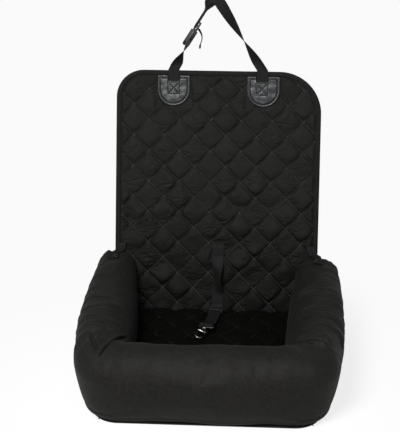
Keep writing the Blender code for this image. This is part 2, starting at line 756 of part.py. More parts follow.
def build_cushion(fabric):
    """The quilted seat cushion: crowned, with sides that draw in to its top and bottom seams."""
    half = CUSHION_WIDTH / 2
    middle_y = (CUSHION_FRONT + CUSHION_REAR) / 2
    half_depth = (CUSHION_REAR - CUSHION_FRONT) / 2
    widest = half * (1 + CUSHION_REAR_WIDENING_SHARE)

    def widened(y):
        """Its sides run outwards to the rear, as the bolsters do."""
        return 1 + CUSHION_REAR_WIDENING_SHARE * (y - CUSHION_FRONT) / (CUSHION_REAR - CUSHION_FRONT)

    def height(x, y):
        away = min(half * widened(y) - abs(x), half_depth - abs(y - middle_y))
        edge = 1 - eased(away / CUSHION_EDGE_TAPER)
        broad = (1 - (x / half) ** 2) * (1 - ((y - middle_y) / half_depth) ** 2)
        puff = CUSHION_QUILT_CROWN * quilt_share(x, y, QUILT_CENTRE_X, CUSHION_QUILT_Y)
        return CUSHION_SEAM_HEIGHT + CUSHION_BROAD_CROWN * max(broad, 0.0) + puff - CUSHION_EDGE_DROP * edge

    centre = (QUILT_CENTRE_X, CUSHION_QUILT_Y)
    low, high = (-widest, CUSHION_FRONT), (widest, CUSHION_REAR)
    top = quilted_mesh("seat_cushion", low, high, centre, height, CUSHION_BOTTOM)
    cushion = finished("seat_cushion", top, fabric)
    span = CUSHION_TOP - CUSHION_BOTTOM
    rings = []
    for level_share, inset_share in CUSHION_SIDE_SHARES:
        inset = inset_share * half
        front, rear = CUSHION_FRONT + inset, CUSHION_REAR - inset
        outline = rounded_rectangle(half - inset, front, rear, CUSHION_CORNER_RADIUS, CORNER_STEPS // 2)
        level = CUSHION_BOTTOM + span * level_share
        rings.append([(x * widened(y), y, level) for x, y in outline])
    sides = helper(finished("cushion sides", loft_mesh("cushion sides", rings), None))
    combine(cushion, sides, "INTERSECT")


def build_ties(webbing, metal, seat_frame):
    """At each rear corner a webbing tie holds the bolster to the panel, closed with a press stud."""
    lean_up = Vector((0, math.sin(LEAN_ANGLE), math.cos(LEAN_ANGLE)))
    out = Vector((0, -math.cos(LEAN_ANGLE), math.sin(LEAN_ANGLE)))
    depth = QUILT_FRONT + GAP + TIE_THICKNESS / 2
    level = BOLSTER_HEIGHT + BOLSTER_REAR_RISE + GAP + TIE_THICKNESS / 2
    seat_line = Vector((0, SEAT_LINE_Y, SEAT_LINE_Z)) + out * depth
    turn = math.pi / 2 - LEAN_ANGLE
    setback = TIE_BEND_RADIUS * math.tan(turn / 2)
    corner_share = (level - seat_line.z) / lean_up.z
    corner = seat_line + lean_up * corner_share
    centre = corner + lean_up * setback + out * TIE_BEND_RADIUS
    profile = [(corner + lean_up * (setback + TIE_PANEL_LENGTH), out)]
    for k in range(TIE_BEND_STEPS + 1):
        angle = turn * k / TIE_BEND_STEPS
        normal = out * math.cos(angle) + lean_up * math.sin(angle)
        profile.append((centre - normal * TIE_BEND_RADIUS, normal))
    end = profile[-1][0] + Vector((0, -TIE_FORWARD_LENGTH, 0))
    profile.append((end, Vector((0, 0, 1))))
    for side, sign in (("left", -1), ("right", 1)):
        shift = Vector((sign * TIE_X, 0, 0))
        half = Vector((TIE_WIDTH / 2, 0, 0))
        stations = [(point + shift, half, normal) for point, normal in profile]
        finished(f"{side}_tie", ribbon_mesh(f"{side}_tie", stations, TIE_THICKNESS), webbing)
        seat = end + shift + Vector((0, STUD_FROM_END, TIE_THICKNESS / 2 + GAP))
        stud = cylinder_mesh(f"{side}_stud", (0, 0, 0), (0, 0, STUD_HEIGHT), STUD_RADIUS)
        soften(finished(f"{side}_stud", stud, metal, place=seat), METAL_BEVEL)


def buckle_frame(strap_axis):
    """The buckle's own frame: Y along it towards the top of the strap, Z out of its outer face."""
    made = empty("buckle_frame", (BUCKLE_X, BUCKLE_ABOVE_HINGE, WEB_THICKNESS / 2), strap_axis)
    tilt = Matrix.Rotation(-BUCKLE_TILT, 3, "Z")
    turn = Matrix.Rotation(-BUCKLE_TURN, 3, "Y")
    made.rotation_euler = (tilt @ turn).to_euler()
    return made, tilt @ turn


def build_buckle(plastic, frame):
    """A side-release buckle: the socket, the plug with its ladder lock, and the two sprung prongs."""
    half, thick = SOCKET_WIDTH / 2, SOCKET_THICKNESS / 2
    outline = [
        (-half, -SOCKET_BAR_RADIUS),
        (half, -SOCKET_BAR_RADIUS),
        (half, SOCKET_MOUTH),
        (-half, SOCKET_MOUTH),
    ]
    socket = finished("buckle_socket", prism_mesh("buckle_socket", outline, -thick, thick), plastic, frame)
    soften(socket, PLASTIC_BEVEL * 2)
    inner = half - SOCKET_ARM_WIDTH
    slot_top = SOCKET_BODY_START
    past, bar = thick + CUT_OVERRUN, SOCKET_BAR_RADIUS
    mouth = PLUG_FRAME_THICKNESS / 2 + 2 * GAP
    window = PRONG_THICKNESS / 2 + 2 * GAP
    window_low = slot_top + SOCKET_WINDOW_START
    window_high = window_low + SOCKET_WINDOW_LENGTH
    side = half + CUT_OVERRUN
    cuts = {
        "strap slot": ((-inner, bar, -past), (inner, slot_top, past)),
        "bar front": ((-inner, -CUT_OVERRUN, bar), (inner, slot_top, past)),
        "bar back": ((-inner, -CUT_OVERRUN, -past), (inner, slot_top, -bar)),
        "mouth": ((-inner, slot_top + SOCKET_WALL, -mouth), (inner, SOCKET_MOUTH + CUT_OVERRUN, mouth)),
        "side windows": ((-side, window_low, -window), (side, window_high, window)),
    }
    for label, (low, high) in cuts.items():
        cutter = helper(finished(f"socket {label}", block_mesh(label, low, high), None, frame))
        combine(socket, cutter, "DIFFERENCE")

    start, end = PLUG_FRAME_START, PLUG_FRAME_START + PLUG_FRAME_LENGTH
    rise = PLUG_FRAME_THICKNESS / 2
    plug_axis = empty("buckle_release", (0, start, 0), frame)
    plate = block_mesh("buckle_plug", (-half, 0, -rise), (half, end - start, rise))
    plug = finished("buckle_plug", plate, plastic, plug_axis)
    soften(plug, PLASTIC_BEVEL)
    slot = (PLUG_FRAME_LENGTH - 3 * PLUG_BAR) / 2
    open_half = PLUG_INNER_WIDTH / 2
    for k, label in enumerate(("inner", "outer")):
        low_y = PLUG_BAR + k * (slot + PLUG_BAR)
        past = rise + CUT_OVERRUN
        cut = block_mesh(label, (-open_half, low_y, -past), (open_half, low_y + slot, past))
        combine(plug, helper(finished(f"plug {label} slot", cut, None, plug_axis)), "DIFFERENCE")
    tongue = block_mesh(
        "tongue",
        (-PLUG_TONGUE_WIDTH / 2, -PLUG_TONGUE_LENGTH, -rise + GAP),
        (PLUG_TONGUE_WIDTH / 2, PLUG_BAR / 2, rise - GAP),
    )
    combine(plug, helper(finished("plug tongue", tongue, None, plug_axis)), "UNION")

    for side, sign in (("left", -1), ("right", 1)):
        root = sign * (inner - GAP - PRONG_INSET - PRONG_WIDTH)
        tip_start = -PRONG_LENGTH + PRONG_TIP_LENGTH
        pivot = empty(f"prong_{side}_pivot", (root + sign * PRONG_WIDTH / 2, -GAP, 0), plug_axis)
        near = -PRONG_WIDTH / 2
        far = near + PRONG_WIDTH
        outline = [
            (sign * near, -GAP),
            (sign * near, -PRONG_LENGTH + PRONG_WIDTH),
            (sign * (near + PRONG_WIDTH / 2), -PRONG_LENGTH),
            (sign * far, -PRONG_LENGTH),
            (sign * (far + PRONG_INSET), -PRONG_LENGTH + PRONG_WIDTH),
            (sign * (far + PRONG_INSET), tip_start),
            (sign * far, tip_start + PRONG_INSET),
            (sign * far, -GAP),
        ]
        depth = PRONG_THICKNESS / 2 - GAP
        name = f"prong_{side}"
        prong = finished(name, prism_mesh(name, outline, -depth, depth), plastic, pivot)
        soften(prong, PLASTIC_BEVEL / 2, 1)
    return plug_axis


def turned(along, angle):
    """The direction across webbing that runs along a line in the panel's plane, turned about itself."""
    flat = Vector((along.y, -along.x, 0))
    return flat * math.cos(angle) + Vector((0, 0, 1)) * math.sin(angle)


def webbing_mesh(name, line):
    """Webbing through places that each hold a centre and half of the width as a vector."""
    stations = []
    for k, (centre, half) in enumerate(line):
        heading = line[min(k + 1, len(line) - 1)][0] - line[max(k - 1, 0)][0]
        stations.append((centre, half, half.cross(heading).normalized()))
    return ribbon_mesh(name, stations, WEB_THICKNESS)


def build_strap(webbing, strap_axis, frame, frame_turn, plug_axis):
    """The headrest strap: left end to the socket, right end over the apex and down to the plug."""
    half = WEB_WIDTH / 2
    middle = WEB_THICKNESS / 2
    frame_place = Vector((BUCKLE_X, BUCKLE_ABOVE_HINGE, middle))
    along = frame_turn @ Vector((0, 1, 0))
    frame_across = frame_turn @ Vector((1, 0, 0))

    # left strap: it twists on the way to the socket's bar and is sewn in a loop round it
    wrap = SOCKET_BAR_RADIUS * math.sqrt(2) + GAP + middle
    run_out = SOCKET_BAR_RADIUS + WEB_THICKNESS
    below = frame_place + frame_turn @ Vector((0, -run_out, -wrap))
    foot = Vector((LEFT_PATCH_X, GAP / 2, middle))
    line = []
    for k in range(TWIST_STEPS + 1):
        share = k / TWIST_STEPS
        up = blended(Vector((0, 1, 0)), along, eased(share)).normalized()
        twisted = max(share - LEFT_TWIST_START, 0.0) / (1 - LEFT_TWIST_START)
        turn = (BUCKLE_TURN - math.pi) * (1 - (1 - twisted) ** LEFT_TWIST_POWER)
        line.append((blended(foot, below, share), turned(up, turn) * half))
    for k in range(LOOP_STEPS + 1):
        angle = math.pi * k / LOOP_STEPS
        outward = frame_turn @ Vector((0, math.sin(angle), -math.cos(angle)))
        line.append((frame_place + outward * wrap, -frame_across * half))
    line.append((frame_place + frame_turn @ Vector((0, -run_out, wrap)), -frame_across * half))
    finished("left_strap", webbing_mesh("left_strap", line), webbing, strap_axis)

    # right strap: it twists up to the apex, folds there, and comes down to the plug
    apex = Vector((APEX_X, APEX_ABOVE_HINGE, middle))
    right_foot = Vector((RIGHT_STRAP_FOOT_X, GAP / 2, middle))
    front_face = PLUG_FRAME_THICKNESS / 2 + GAP + middle
    slot = (PLUG_FRAME_LENGTH - 3 * PLUG_BAR) / 2
    inner_slot = PLUG_BAR + slot / 2
    strand_end = frame_place + frame_turn @ Vector((0, PLUG_FRAME_START + inner_slot - middle, front_face))
    strand_bend = strand_end + along * (PLUG_FRAME_LENGTH - inner_slot + PLUG_TRAVEL + PLUG_BAR)
    rise = (apex - right_foot).normalized()
    slant = math.atan2(abs(rise.x), rise.y)
    fold_across = turned(Vector((0, 1, 0)), APEX_TURN)
    fold_half = fold_across * half / math.cos(slant)
    line = []
    for k in range(TWIST_STEPS * 2 + 1):
        share = k / (TWIST_STEPS * 2)
        up = blended(Vector((0, 1, 0)), rise, eased(share * STRAND_SETTLING_SHARE)).normalized()
        turn = APEX_TURN * (1 - (1 - share) ** RIGHT_TWIST_POWER)
        near_apex = eased((share - APEX_BLEND_SHARE) / (1 - APEX_BLEND_SHARE))
        across = blended(turned(up, turn) * half, fold_half, near_apex)
        line.append((blended(right_foot, apex, share), across))
    inward = fold_across.cross(Vector((0, 1, 0)))
    for k in range(1, APEX_BEND_STEPS + 1):
        angle = math.pi * k / APEX_BEND_STEPS
        radial = Vector((0, math.sin(angle), 0)) - inward * math.cos(angle)
        drift = fold_across * (APEX_BEND_RADIUS * angle * math.tan(slant))
        line.append((apex + (inward + radial) * APEX_BEND_RADIUS + drift, fold_half))
    over = line[-1][0]
    for k in range(1, TWIST_STEPS + 1):
        share = k / TWIST_STEPS
        up = blended(Vector((0, 1, 0)), along, eased(share)).normalized()
        across = turned(up, blended(APEX_TURN, BUCKLE_TURN + math.pi, eased(share)))
        across *= blended(fold_half.length, half, eased(share))
        line.append((blended(over, strand_bend, share), across))
    line.append((strand_end, -frame_across * half))
    finished("right_strap", webbing_mesh("right_strap", line), webbing, strap_axis)

    # tail: down through the plug's inner slot, and free behind the socket
    tail_top = PLUG_FRAME_THICKNESS / 2
    drop = SOCKET_THICKNESS / 2 + WEB_THICKNESS
    route = [
        (0, inner_slot, tail_top),
        (0, inner_slot, -tail_top),
        (0, inner_slot - drop * TAIL_DROP_SHARE, -drop),
        (0, -TAIL_LENGTH * TAIL_MIDDLE_SHARE, -drop * TAIL_FLARE),
        (0, -TAIL_LENGTH * TAIL_REACH_SHARE, -drop * TAIL_FLARE * TAIL_FLARE),
    ]
    line = [(point, Vector((half, 0, 0))) for point in smooth_line(route, STRAND_STEPS)]
    finished("strap_tail", webbing_mesh("strap_tail", line), webbing, plug_axis)


def build_tether(webbing, metal, plastic, lower_pad, seat_frame):
    """The harness tether: sewn to the panel, it hangs to the seat and ends in a swivel snap hook."""
    half = WEB_WIDTH / 2
    hinge_s = TETHER_SEWN_TOP - TETHER_SEWN_LENGTH
    recess = block_mesh(
        "recess",
        (TETHER_X - half - GAP, hinge_s - TETHER_RECESS_MARGIN, PATCH_RECESS_LEVEL),
        (TETHER_X + half + GAP, TETHER_SEWN_TOP + GAP, QUILT_FRONT + CUT_OVERRUN),
    )
    combine(lower_pad, helper(finished("tether recess", recess, None, seat_frame)), "DIFFERENCE")
    back = PATCH_RECESS_LEVEL + GAP
    low, high = (TETHER_X - half, hinge_s, back), (TETHER_X + half, TETHER_SEWN_TOP, back + WEB_THICKNESS)
    sewn = block_mesh("tether_anchor", low, high)
    finished("tether_anchor", sewn, webbing, seat_frame)

    # the strap's middle line: down the panel, a bend at the seat, then forward and slightly to the left
    lean_up = Vector((0, math.sin(LEAN_ANGLE), math.cos(LEAN_ANGLE)))
    out = Vector((0, -math.cos(LEAN_ANGLE), math.sin(LEAN_ANGLE)))
    seat_line = Vector((TETHER_X, SEAT_LINE_Y, SEAT_LINE_Z))
    hinge = seat_line + lean_up * hinge_s + out * (back + WEB_THICKNESS)
    axis = empty("tether_hinge", hinge)
    hang_depth = QUILT_FRONT + GAP + WEB_THICKNESS / 2
    first = seat_line + lean_up * (hinge_s - GAP) + out * (back + WEB_THICKNESS / 2)
    clear = seat_line + lean_up * (hinge_s - TETHER_RECESS_MARGIN) + out * (hang_depth + WEB_THICKNESS)
    hang = seat_line + out * hang_depth
    corner = hang + lean_up * ((TETHER_LEVEL - hang.z) / lean_up.z)
    turn = math.pi / 2 - LEAN_ANGLE
    setback = TETHER_BEND_RADIUS * math.tan(turn / 2)
    centre = corner + lean_up * setback + out * TETHER_BEND_RADIUS
    straight_across = Vector((half, 0, 0))
    forward = Vector((-math.sin(TETHER_DRIFT), -math.cos(TETHER_DRIFT), 0))
    level_across = Vector((math.cos(TETHER_DRIFT), -math.sin(TETHER_DRIFT), 0)) * half
    up = Vector((0, 0, 1))
    settled = seat_line + lean_up * (hinge_s * TETHER_SETTLED_SHARE) + out * hang_depth
    second = first - lean_up * WEB_THICKNESS
    start = (first, second, blended(second, clear, 0.5), clear, settled)
    line = [(point, straight_across) for point in start]
    for k in range(TETHER_BEND_STEPS + 1):
        share = k / TETHER_BEND_STEPS
        normal = out * math.cos(turn * share) + lean_up * math.sin(turn * share)
        line.append((centre - normal * TETHER_BEND_RADIUS, blended(straight_across, level_across, share)))
    slide_start = line[-1][0]
    level_end = slide_start + forward * TETHER_LEVEL_LENGTH
    line.append((level_end, level_across))
    bar_below = level_end + forward * TETHER_RISE_LENGTH + up * TETHER_RISE
    line.append((blended(level_end, bar_below, LOOP_ENTRY_SHARE), level_across))
    # the sewn loop at its end goes under the eye's bar, round it and back over itself
    loop_rise = EYE_BAR_RADIUS + LOOP_SLACK + WEB_THICKNESS / 2
    straight = LOOP_LENGTH / 2 - loop_rise
    loop_centre = bar_below + forward * LOOP_LENGTH / 2 + up * loop_rise
    for k in range(LOOP_STEPS + 1):
        angle = math.pi * k / LOOP_STEPS
        outward = forward * math.sin(angle) - up * math.cos(angle)
        line.append((loop_centre + forward * straight + outward * loop_rise, level_across))
    line.append((loop_centre - forward * straight + up * loop_rise, level_across))
    line = [(point - hinge, across) for point, across in line]
    finished("tether_strap", webbing_mesh("tether_strap", line), webbing, axis)

    # slider: end bars below the webbing, a middle bar above it, rails at the sides
    slider_centre = slide_start + forward * (SLIDER_LENGTH / 2 + GAP) - hinge
    slider_axis = empty("slider_frame", slider_centre, axis, (0, 0, -TETHER_DRIFT))
    low = -WEB_THICKNESS / 2 - GAP - SLIDER_PLATE
    high = WEB_THICKNESS / 2 + GAP + SLIDER_PLATE
    long_half, wide_half = SLIDER_LENGTH / 2, SLIDER_WIDTH / 2
    slider = finished(
        "tether_slider",
        block_mesh("tether_slider", (-wide_half, -long_half, low), (wide_half, long_half, high)),
        plastic,
        slider_axis,
    )
    inner = wide_half - SLIDER_RAIL
    past, above = long_half + CUT_OVERRUN, high + CUT_OVERRUN
    under = long_half - SLIDER_BAR
    cuts = {
        "webbing path": ((-inner, -past, low + SLIDER_PLATE), (inner, past, high - SLIDER_PLATE)),
        "front slot": ((-inner, -past, 0.0), (inner, -SLIDER_BAR / 2, above)),
        "rear slot": ((-inner, SLIDER_BAR / 2, 0.0), (inner, past, above)),
        "under the bar": ((-inner, -under, low - CUT_OVERRUN), (inner, under, 0.0)),
    }
    for label, (near, far) in cuts.items():
        cutter = helper(finished(f"slider {label}", block_mesh(label, near, far), None, slider_axis))
        combine(slider, cutter, "DIFFERENCE")

    build_hook(metal, axis, loop_centre - hinge)


def build_hook(metal, axis, loop_centre):
    """The swivel eye in the webbing loop and the snap hook that turns on it, with its sprung bolt."""
    eye_frame = empty("eye_frame", loop_centre, axis, (0, 0, -TETHER_DRIFT - EYE_YAW))
    half = EYE_INNER_WIDTH / 2 + EYE_BAR_RADIUS
    bars = [
        (-half, 0, 0),
        (half, 0, 0),
        (half, -EYE_LENGTH, 0),
        (-half, -EYE_LENGTH, 0),
    ]
    rings = []
    corner_cut = EYE_BAR_RADIUS * EYE_CORNER_SHARE
    path = []
    for k, here in enumerate(bars):
        here, before, after = Vector(here), Vector(bars[k - 1]), Vector(bars[(k + 1) % len(bars)])
        path.append(here + (before - here).normalized() * corner_cut)
        path.append(here + (after - here).normalized() * corner_cut)
    normal = Vector((0, 0, 1))
    for k, point in enumerate(path):
        heading = (path[(k + 1) % len(path)] - path[k - 1]).normalized()
        side = heading.cross(normal).normalized()
        turns = [2 * math.pi * j / WIRE_SEGMENTS for j in range(WIRE_SEGMENTS)]
        circle = [side * math.cos(a) + normal * math.sin(a) for a in turns]
        rings.append([point + p * EYE_BAR_RADIUS for p in circle])
    eye = finished("swivel_eye", loft_mesh("swivel_eye", rings, closed=True), metal, eye_frame)
    neck_end = -EYE_LENGTH - EYE_BAR_RADIUS / 2 - EYE_NECK_LENGTH
    neck = cylinder_mesh("neck", (0, -EYE_LENGTH, 0), (0, neck_end, 0), EYE_NECK_RADIUS)
    combine(eye, helper(finished("eye neck", neck, None, eye_frame)), "UNION")
    pin_start = neck_end + EYE_NECK_LENGTH / 2
    pin = cylinder_mesh("pin", (0, pin_start, 0), (0, neck_end - SWIVEL_PIN_LENGTH, 0), SWIVEL_PIN_RADIUS)
    combine(eye, helper(finished("eye pin", pin, None, eye_frame)), "UNION")

    # the hook's frame: -Y is forward along it, its bolt lies on its +X side
    hook_frame = empty("hook_swivel", (0, neck_end - GAP, 0), eye_frame, (0, HOOK_ROLL, 0))
    collar = cylinder_mesh("hook_body", (0, 0, 0), (0, -HOOK_COLLAR_LENGTH, 0), HOOK_COLLAR_RADIUS)
    body = finished("hook_body", collar, metal, hook_frame)
    offset, wire = HOOK_SHANK_OFFSET, HOOK_WIRE_RADIUS
    block_end = -HOOK_BLOCK_START - HOOK_BLOCK_LENGTH
    block_half = offset + wire + METAL_BEVEL
    low = (-block_half, block_end, -HOOK_BLOCK_HEIGHT / 2)
    high = (block_half, -HOOK_BLOCK_START, HOOK_BLOCK_HEIGHT / 2)
    block = finished("hook block", block_mesh("hook block", low, high), None, hook_frame)
    soften(helper(block), HOOK_BLOCK_HEIGHT * HOOK_BLOCK_ROUND_SHARE)
    combine(body, block, "UNION")
    path = [(-offset, block_end + wire, 0), (-offset, -HOOK_SHANK_END, 0)]
    for k in range(1, HOOK_ARC_STEPS + 1):
        angle = math.pi * k / HOOK_ARC_STEPS
        path.append((-offset * math.cos(angle), -HOOK_SHANK_END - offset * math.sin(angle), 0))
    path.append((offset, -HOOK_SHANK_END + HOOK_TIP_BACK, 0))
    shank = helper(finished("hook shank", wire_mesh("hook shank", path, wire), None, hook_frame))
    combine(body, shank, "UNION")
    pin_bore = cylinder_mesh(
        "pin bore", (0, CUT_OVERRUN, 0), (0, -SWIVEL_PIN_LENGTH - GAP, 0), SWIVEL_PIN_RADIUS + GAP
    )
    combine(body, helper(finished("swivel bore", pin_bore, None, hook_frame)), "DIFFERENCE")
    tip = -HOOK_SHANK_END + HOOK_TIP_BACK
    gate_rear = block_end + GATE_ENGAGED
    bore = cylinder_mesh(
        "gate bore",
        (offset, gate_rear + GATE_TRAVEL + GAP, 0),
        (offset, block_end - GATE_BORE_PAST, 0),
        GATE_RADIUS + GAP,
    )
    combine(body, helper(finished("gate bore", bore, None, hook_frame)), "DIFFERENCE")

    gate_front = tip + GAP
    slide = empty("gate_slide", (offset, gate_front, 0), hook_frame)
    bolt = cylinder_mesh("hook_gate", (0, 0, 0), (0, gate_rear - gate_front, 0), GATE_RADIUS)
    gate = finished("hook_gate", bolt, metal, slide)
    knob_y = GATE_KNOB_FROM_TIP
    knob = cylinder_mesh("knob", (0, knob_y, 0), (0, knob_y, -GATE_KNOB_REACH), GATE_KNOB_RADIUS)
    combine(gate, helper(finished("gate knob", knob, None, slide)), "UNION")


for existing in list(bpy.data.objects):
    bpy.data.objects.remove(existing)

BLACK_FABRIC = material("black polyester", (0.020, 0.019, 0.019), 0.62)
QUILTED_FABRIC = material("quilted polyester", (0.016, 0.016, 0.017), 0.68)
BLACK_WEBBING = material("black webbing", (0.012, 0.012, 0.012), 0.58)
BINDING_TAPE = material("binding tape", (0.014, 0.014, 0.014), 0.60)
BLACK_LEATHER = material("black leather", (0.035, 0.037, 0.041), 0.38)
GRIP_SHEET = material("non-slip sheet", (0.010, 0.010, 0.010), 0.80)
FIBRE_BOARD = material("fibre board", (0.180, 0.130, 0.085), 0.80)
BLACK_PLASTIC = material("black plastic", (0.018, 0.018, 0.018), 0.35)
NICKEL = material("nickel-plated steel", (0.620, 0.610, 0.590), 0.22, 1.0)

panel_turn = (math.pi / 2 - LEAN_ANGLE, 0, 0)
seat_frame = empty("seat_line", (0, SEAT_LINE_Y, SEAT_LINE_Z), turn=panel_turn)
fold_place = (
    0,
    SEAT_LINE_Y + FOLD_ABOVE_SEAT * math.sin(LEAN_ANGLE),
    SEAT_LINE_Z + FOLD_ABOVE_SEAT * math.cos(LEAN_ANGLE),
)
fold = empty("panel_fold", fold_place, turn=panel_turn)
strap_axis = empty("strap_hinge", (0, STRAP_HINGE_Y, WEB_BACK_LEVEL), fold)

build_base(BLACK_FABRIC, GRIP_SHEET, FIBRE_BOARD)
build_cushion(QUILTED_FABRIC)
build_bolsters(BLACK_FABRIC)
lower_pad, upper_pad = build_panel(QUILTED_FABRIC, BINDING_TAPE, FIBRE_BOARD, seat_frame, fold)
build_patches(BLACK_LEATHER, BLACK_WEBBING, upper_pad, fold)
build_ties(BLACK_WEBBING, NICKEL, seat_frame)
frame, frame_turn = buckle_frame(strap_axis)
plug_axis = build_buckle(BLACK_PLASTIC, frame)
build_strap(BLACK_WEBBING, strap_axis, frame, frame_turn, plug_axis)
build_tether(BLACK_WEBBING, NICKEL, BLACK_PLASTIC, lower_pad, seat_frame)
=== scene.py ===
import json
import math

import bmesh
import bpy
import numpy as np
from mathutils import Matrix, Vector, noise
from mathutils.bvhtree import BVHTree

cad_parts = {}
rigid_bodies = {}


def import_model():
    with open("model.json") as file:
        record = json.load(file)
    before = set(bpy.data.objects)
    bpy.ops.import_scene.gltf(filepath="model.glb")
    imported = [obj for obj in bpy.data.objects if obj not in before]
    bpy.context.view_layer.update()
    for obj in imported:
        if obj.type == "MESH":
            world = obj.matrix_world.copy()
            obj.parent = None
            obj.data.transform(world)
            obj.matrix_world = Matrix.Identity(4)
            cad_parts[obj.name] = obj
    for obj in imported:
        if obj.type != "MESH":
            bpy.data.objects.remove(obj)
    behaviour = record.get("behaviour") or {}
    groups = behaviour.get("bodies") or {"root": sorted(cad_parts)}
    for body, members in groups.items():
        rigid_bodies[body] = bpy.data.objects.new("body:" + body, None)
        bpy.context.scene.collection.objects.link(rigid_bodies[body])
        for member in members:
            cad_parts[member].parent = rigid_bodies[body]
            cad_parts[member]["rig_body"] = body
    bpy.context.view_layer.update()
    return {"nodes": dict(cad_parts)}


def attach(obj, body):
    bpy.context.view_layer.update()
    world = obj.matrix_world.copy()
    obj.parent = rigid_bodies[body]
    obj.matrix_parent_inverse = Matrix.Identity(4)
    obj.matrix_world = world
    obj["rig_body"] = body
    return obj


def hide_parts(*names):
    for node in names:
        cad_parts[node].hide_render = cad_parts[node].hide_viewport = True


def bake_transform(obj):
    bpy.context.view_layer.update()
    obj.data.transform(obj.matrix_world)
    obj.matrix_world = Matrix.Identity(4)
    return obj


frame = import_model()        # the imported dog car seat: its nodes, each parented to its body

print("frame loaded")

gap = 0.0003  # between pieces that lie on each other
view = {
    "place": Vector((0.1239, -2.4318, 1.4658)), "target": Vector((0, -0.3582, 0.5379)),
    "roll": math.radians(-0.125), "sensor": 36, "lens": 36 * 1298.6 / 400,
}


class Wire:  # a node's output that takes part in sums
    def __init__(self, graph, socket):
        self.graph = graph
        self.socket = socket

    def maths(self, operation, *values):
        return self.graph.node("ShaderNodeMath", {"operation": operation}, dict(enumerate(values)))

    def out(self, name):
        return Wire(self.graph, self.socket.node.outputs[name])

    def __add__(self, other):
        return self.maths("ADD", self, other)

    def __sub__(self, other):
        return self.maths("SUBTRACT", self, other)

    def __rsub__(self, other):
        return self.maths("SUBTRACT", other, self)

    def __mul__(self, other):
        return self.maths("MULTIPLY", self, other)

    __radd__ = __add__
    __rmul__ = __mul__

    def sine(self):
        return self.maths("SINE", self)

    def size(self):
        return self.maths("ABSOLUTE", self)


class Graph:  # the nodes of one material or one geometry tree
    def __init__(self, tree):
        self.tree = tree
        tree.nodes.clear()

    def node(self, kind, settings=None, sockets=None, output=0):
        made = self.tree.nodes.new(kind)
        for name, value in (settings or {}).items():
            if name == "stops":
                ramp = made.color_ramp
                for k, (place, colour) in enumerate(value):
                    stop = ramp.elements[k] if k < len(ramp.elements) else ramp.elements.new(place)
                    stop.position = place
                    stop.color = (*colour, 1)
            else:
                setattr(made, name, value)
        for name, value in (sockets or {}).items():
            if isinstance(value, Wire):
                self.tree.links.new(value.socket, made.inputs[name])
            else:
                made.inputs[name].default_value = value
        return Wire(self, made.outputs[output]) if made.outputs else made

    def place(self):  # a point's place on the piece, in metres
        return self.node("ShaderNodeTexCoord", None, None, "Object")

    def split(self, vector):
        return self.node("ShaderNodeSeparateXYZ", None, {0: vector})

    def noise(self, where, scale, detail=3.0, roughness=0.5):
        sockets = {"Vector": where, "Scale": scale, "Detail": detail, "Roughness": roughness}
        return self.node("ShaderNodeTexNoise", None, sockets)

    def spread(self, value, low, high, toLow=0.0, toHigh=1.0):
        sockets = {"Value": value, "From Min": low, "From Max": high, "To Min": toLow, "To Max": toHigh}
        return self.node("ShaderNodeMapRange", {"clamp": True}, sockets)

    def mix(self, share, first, second):
        first, second = ((*c, 1) if isinstance(c, tuple) else c for c in (first, second))
        return self.node("ShaderNodeMix", {"data_type": "RGBA"}, {0: share, 6: first, 7: second}, 2)


def newMaterial(name, paint, **fixed):  # paint gives the links of the surface; fixed sets its plain values
    material = bpy.data.materials.new(name)
    material.use_nodes = True
    graph = Graph(material.node_tree)
    links = paint(graph)
    height = links.pop("height", None)
    if height is not None:
        sockets = {"Height": height, "Distance": links.pop("depth"), "Strength": links.pop("strength", 1.0)}
        links["Normal"] = graph.node("ShaderNodeBump", None, sockets)
    sockets = {key.replace("_", " "): value for key, value in fixed.items()}
    shader = graph.node("ShaderNodeBsdfPrincipled", None, {**sockets, **links})
    graph.node("ShaderNodeOutputMaterial", None, {"Surface": shader})
    return material


weave = {  # what all the woven cloths share: how much each layer counts in the shade, and how fine it is
    "cloudShare": 0.30, "slubShare": 0.30, "mottleShare": 0.40, "mottle": 170, "lint": 260, "lintShare": 0.25,
    "unlit": (0.0012, 0.0012, 0.0010),
}


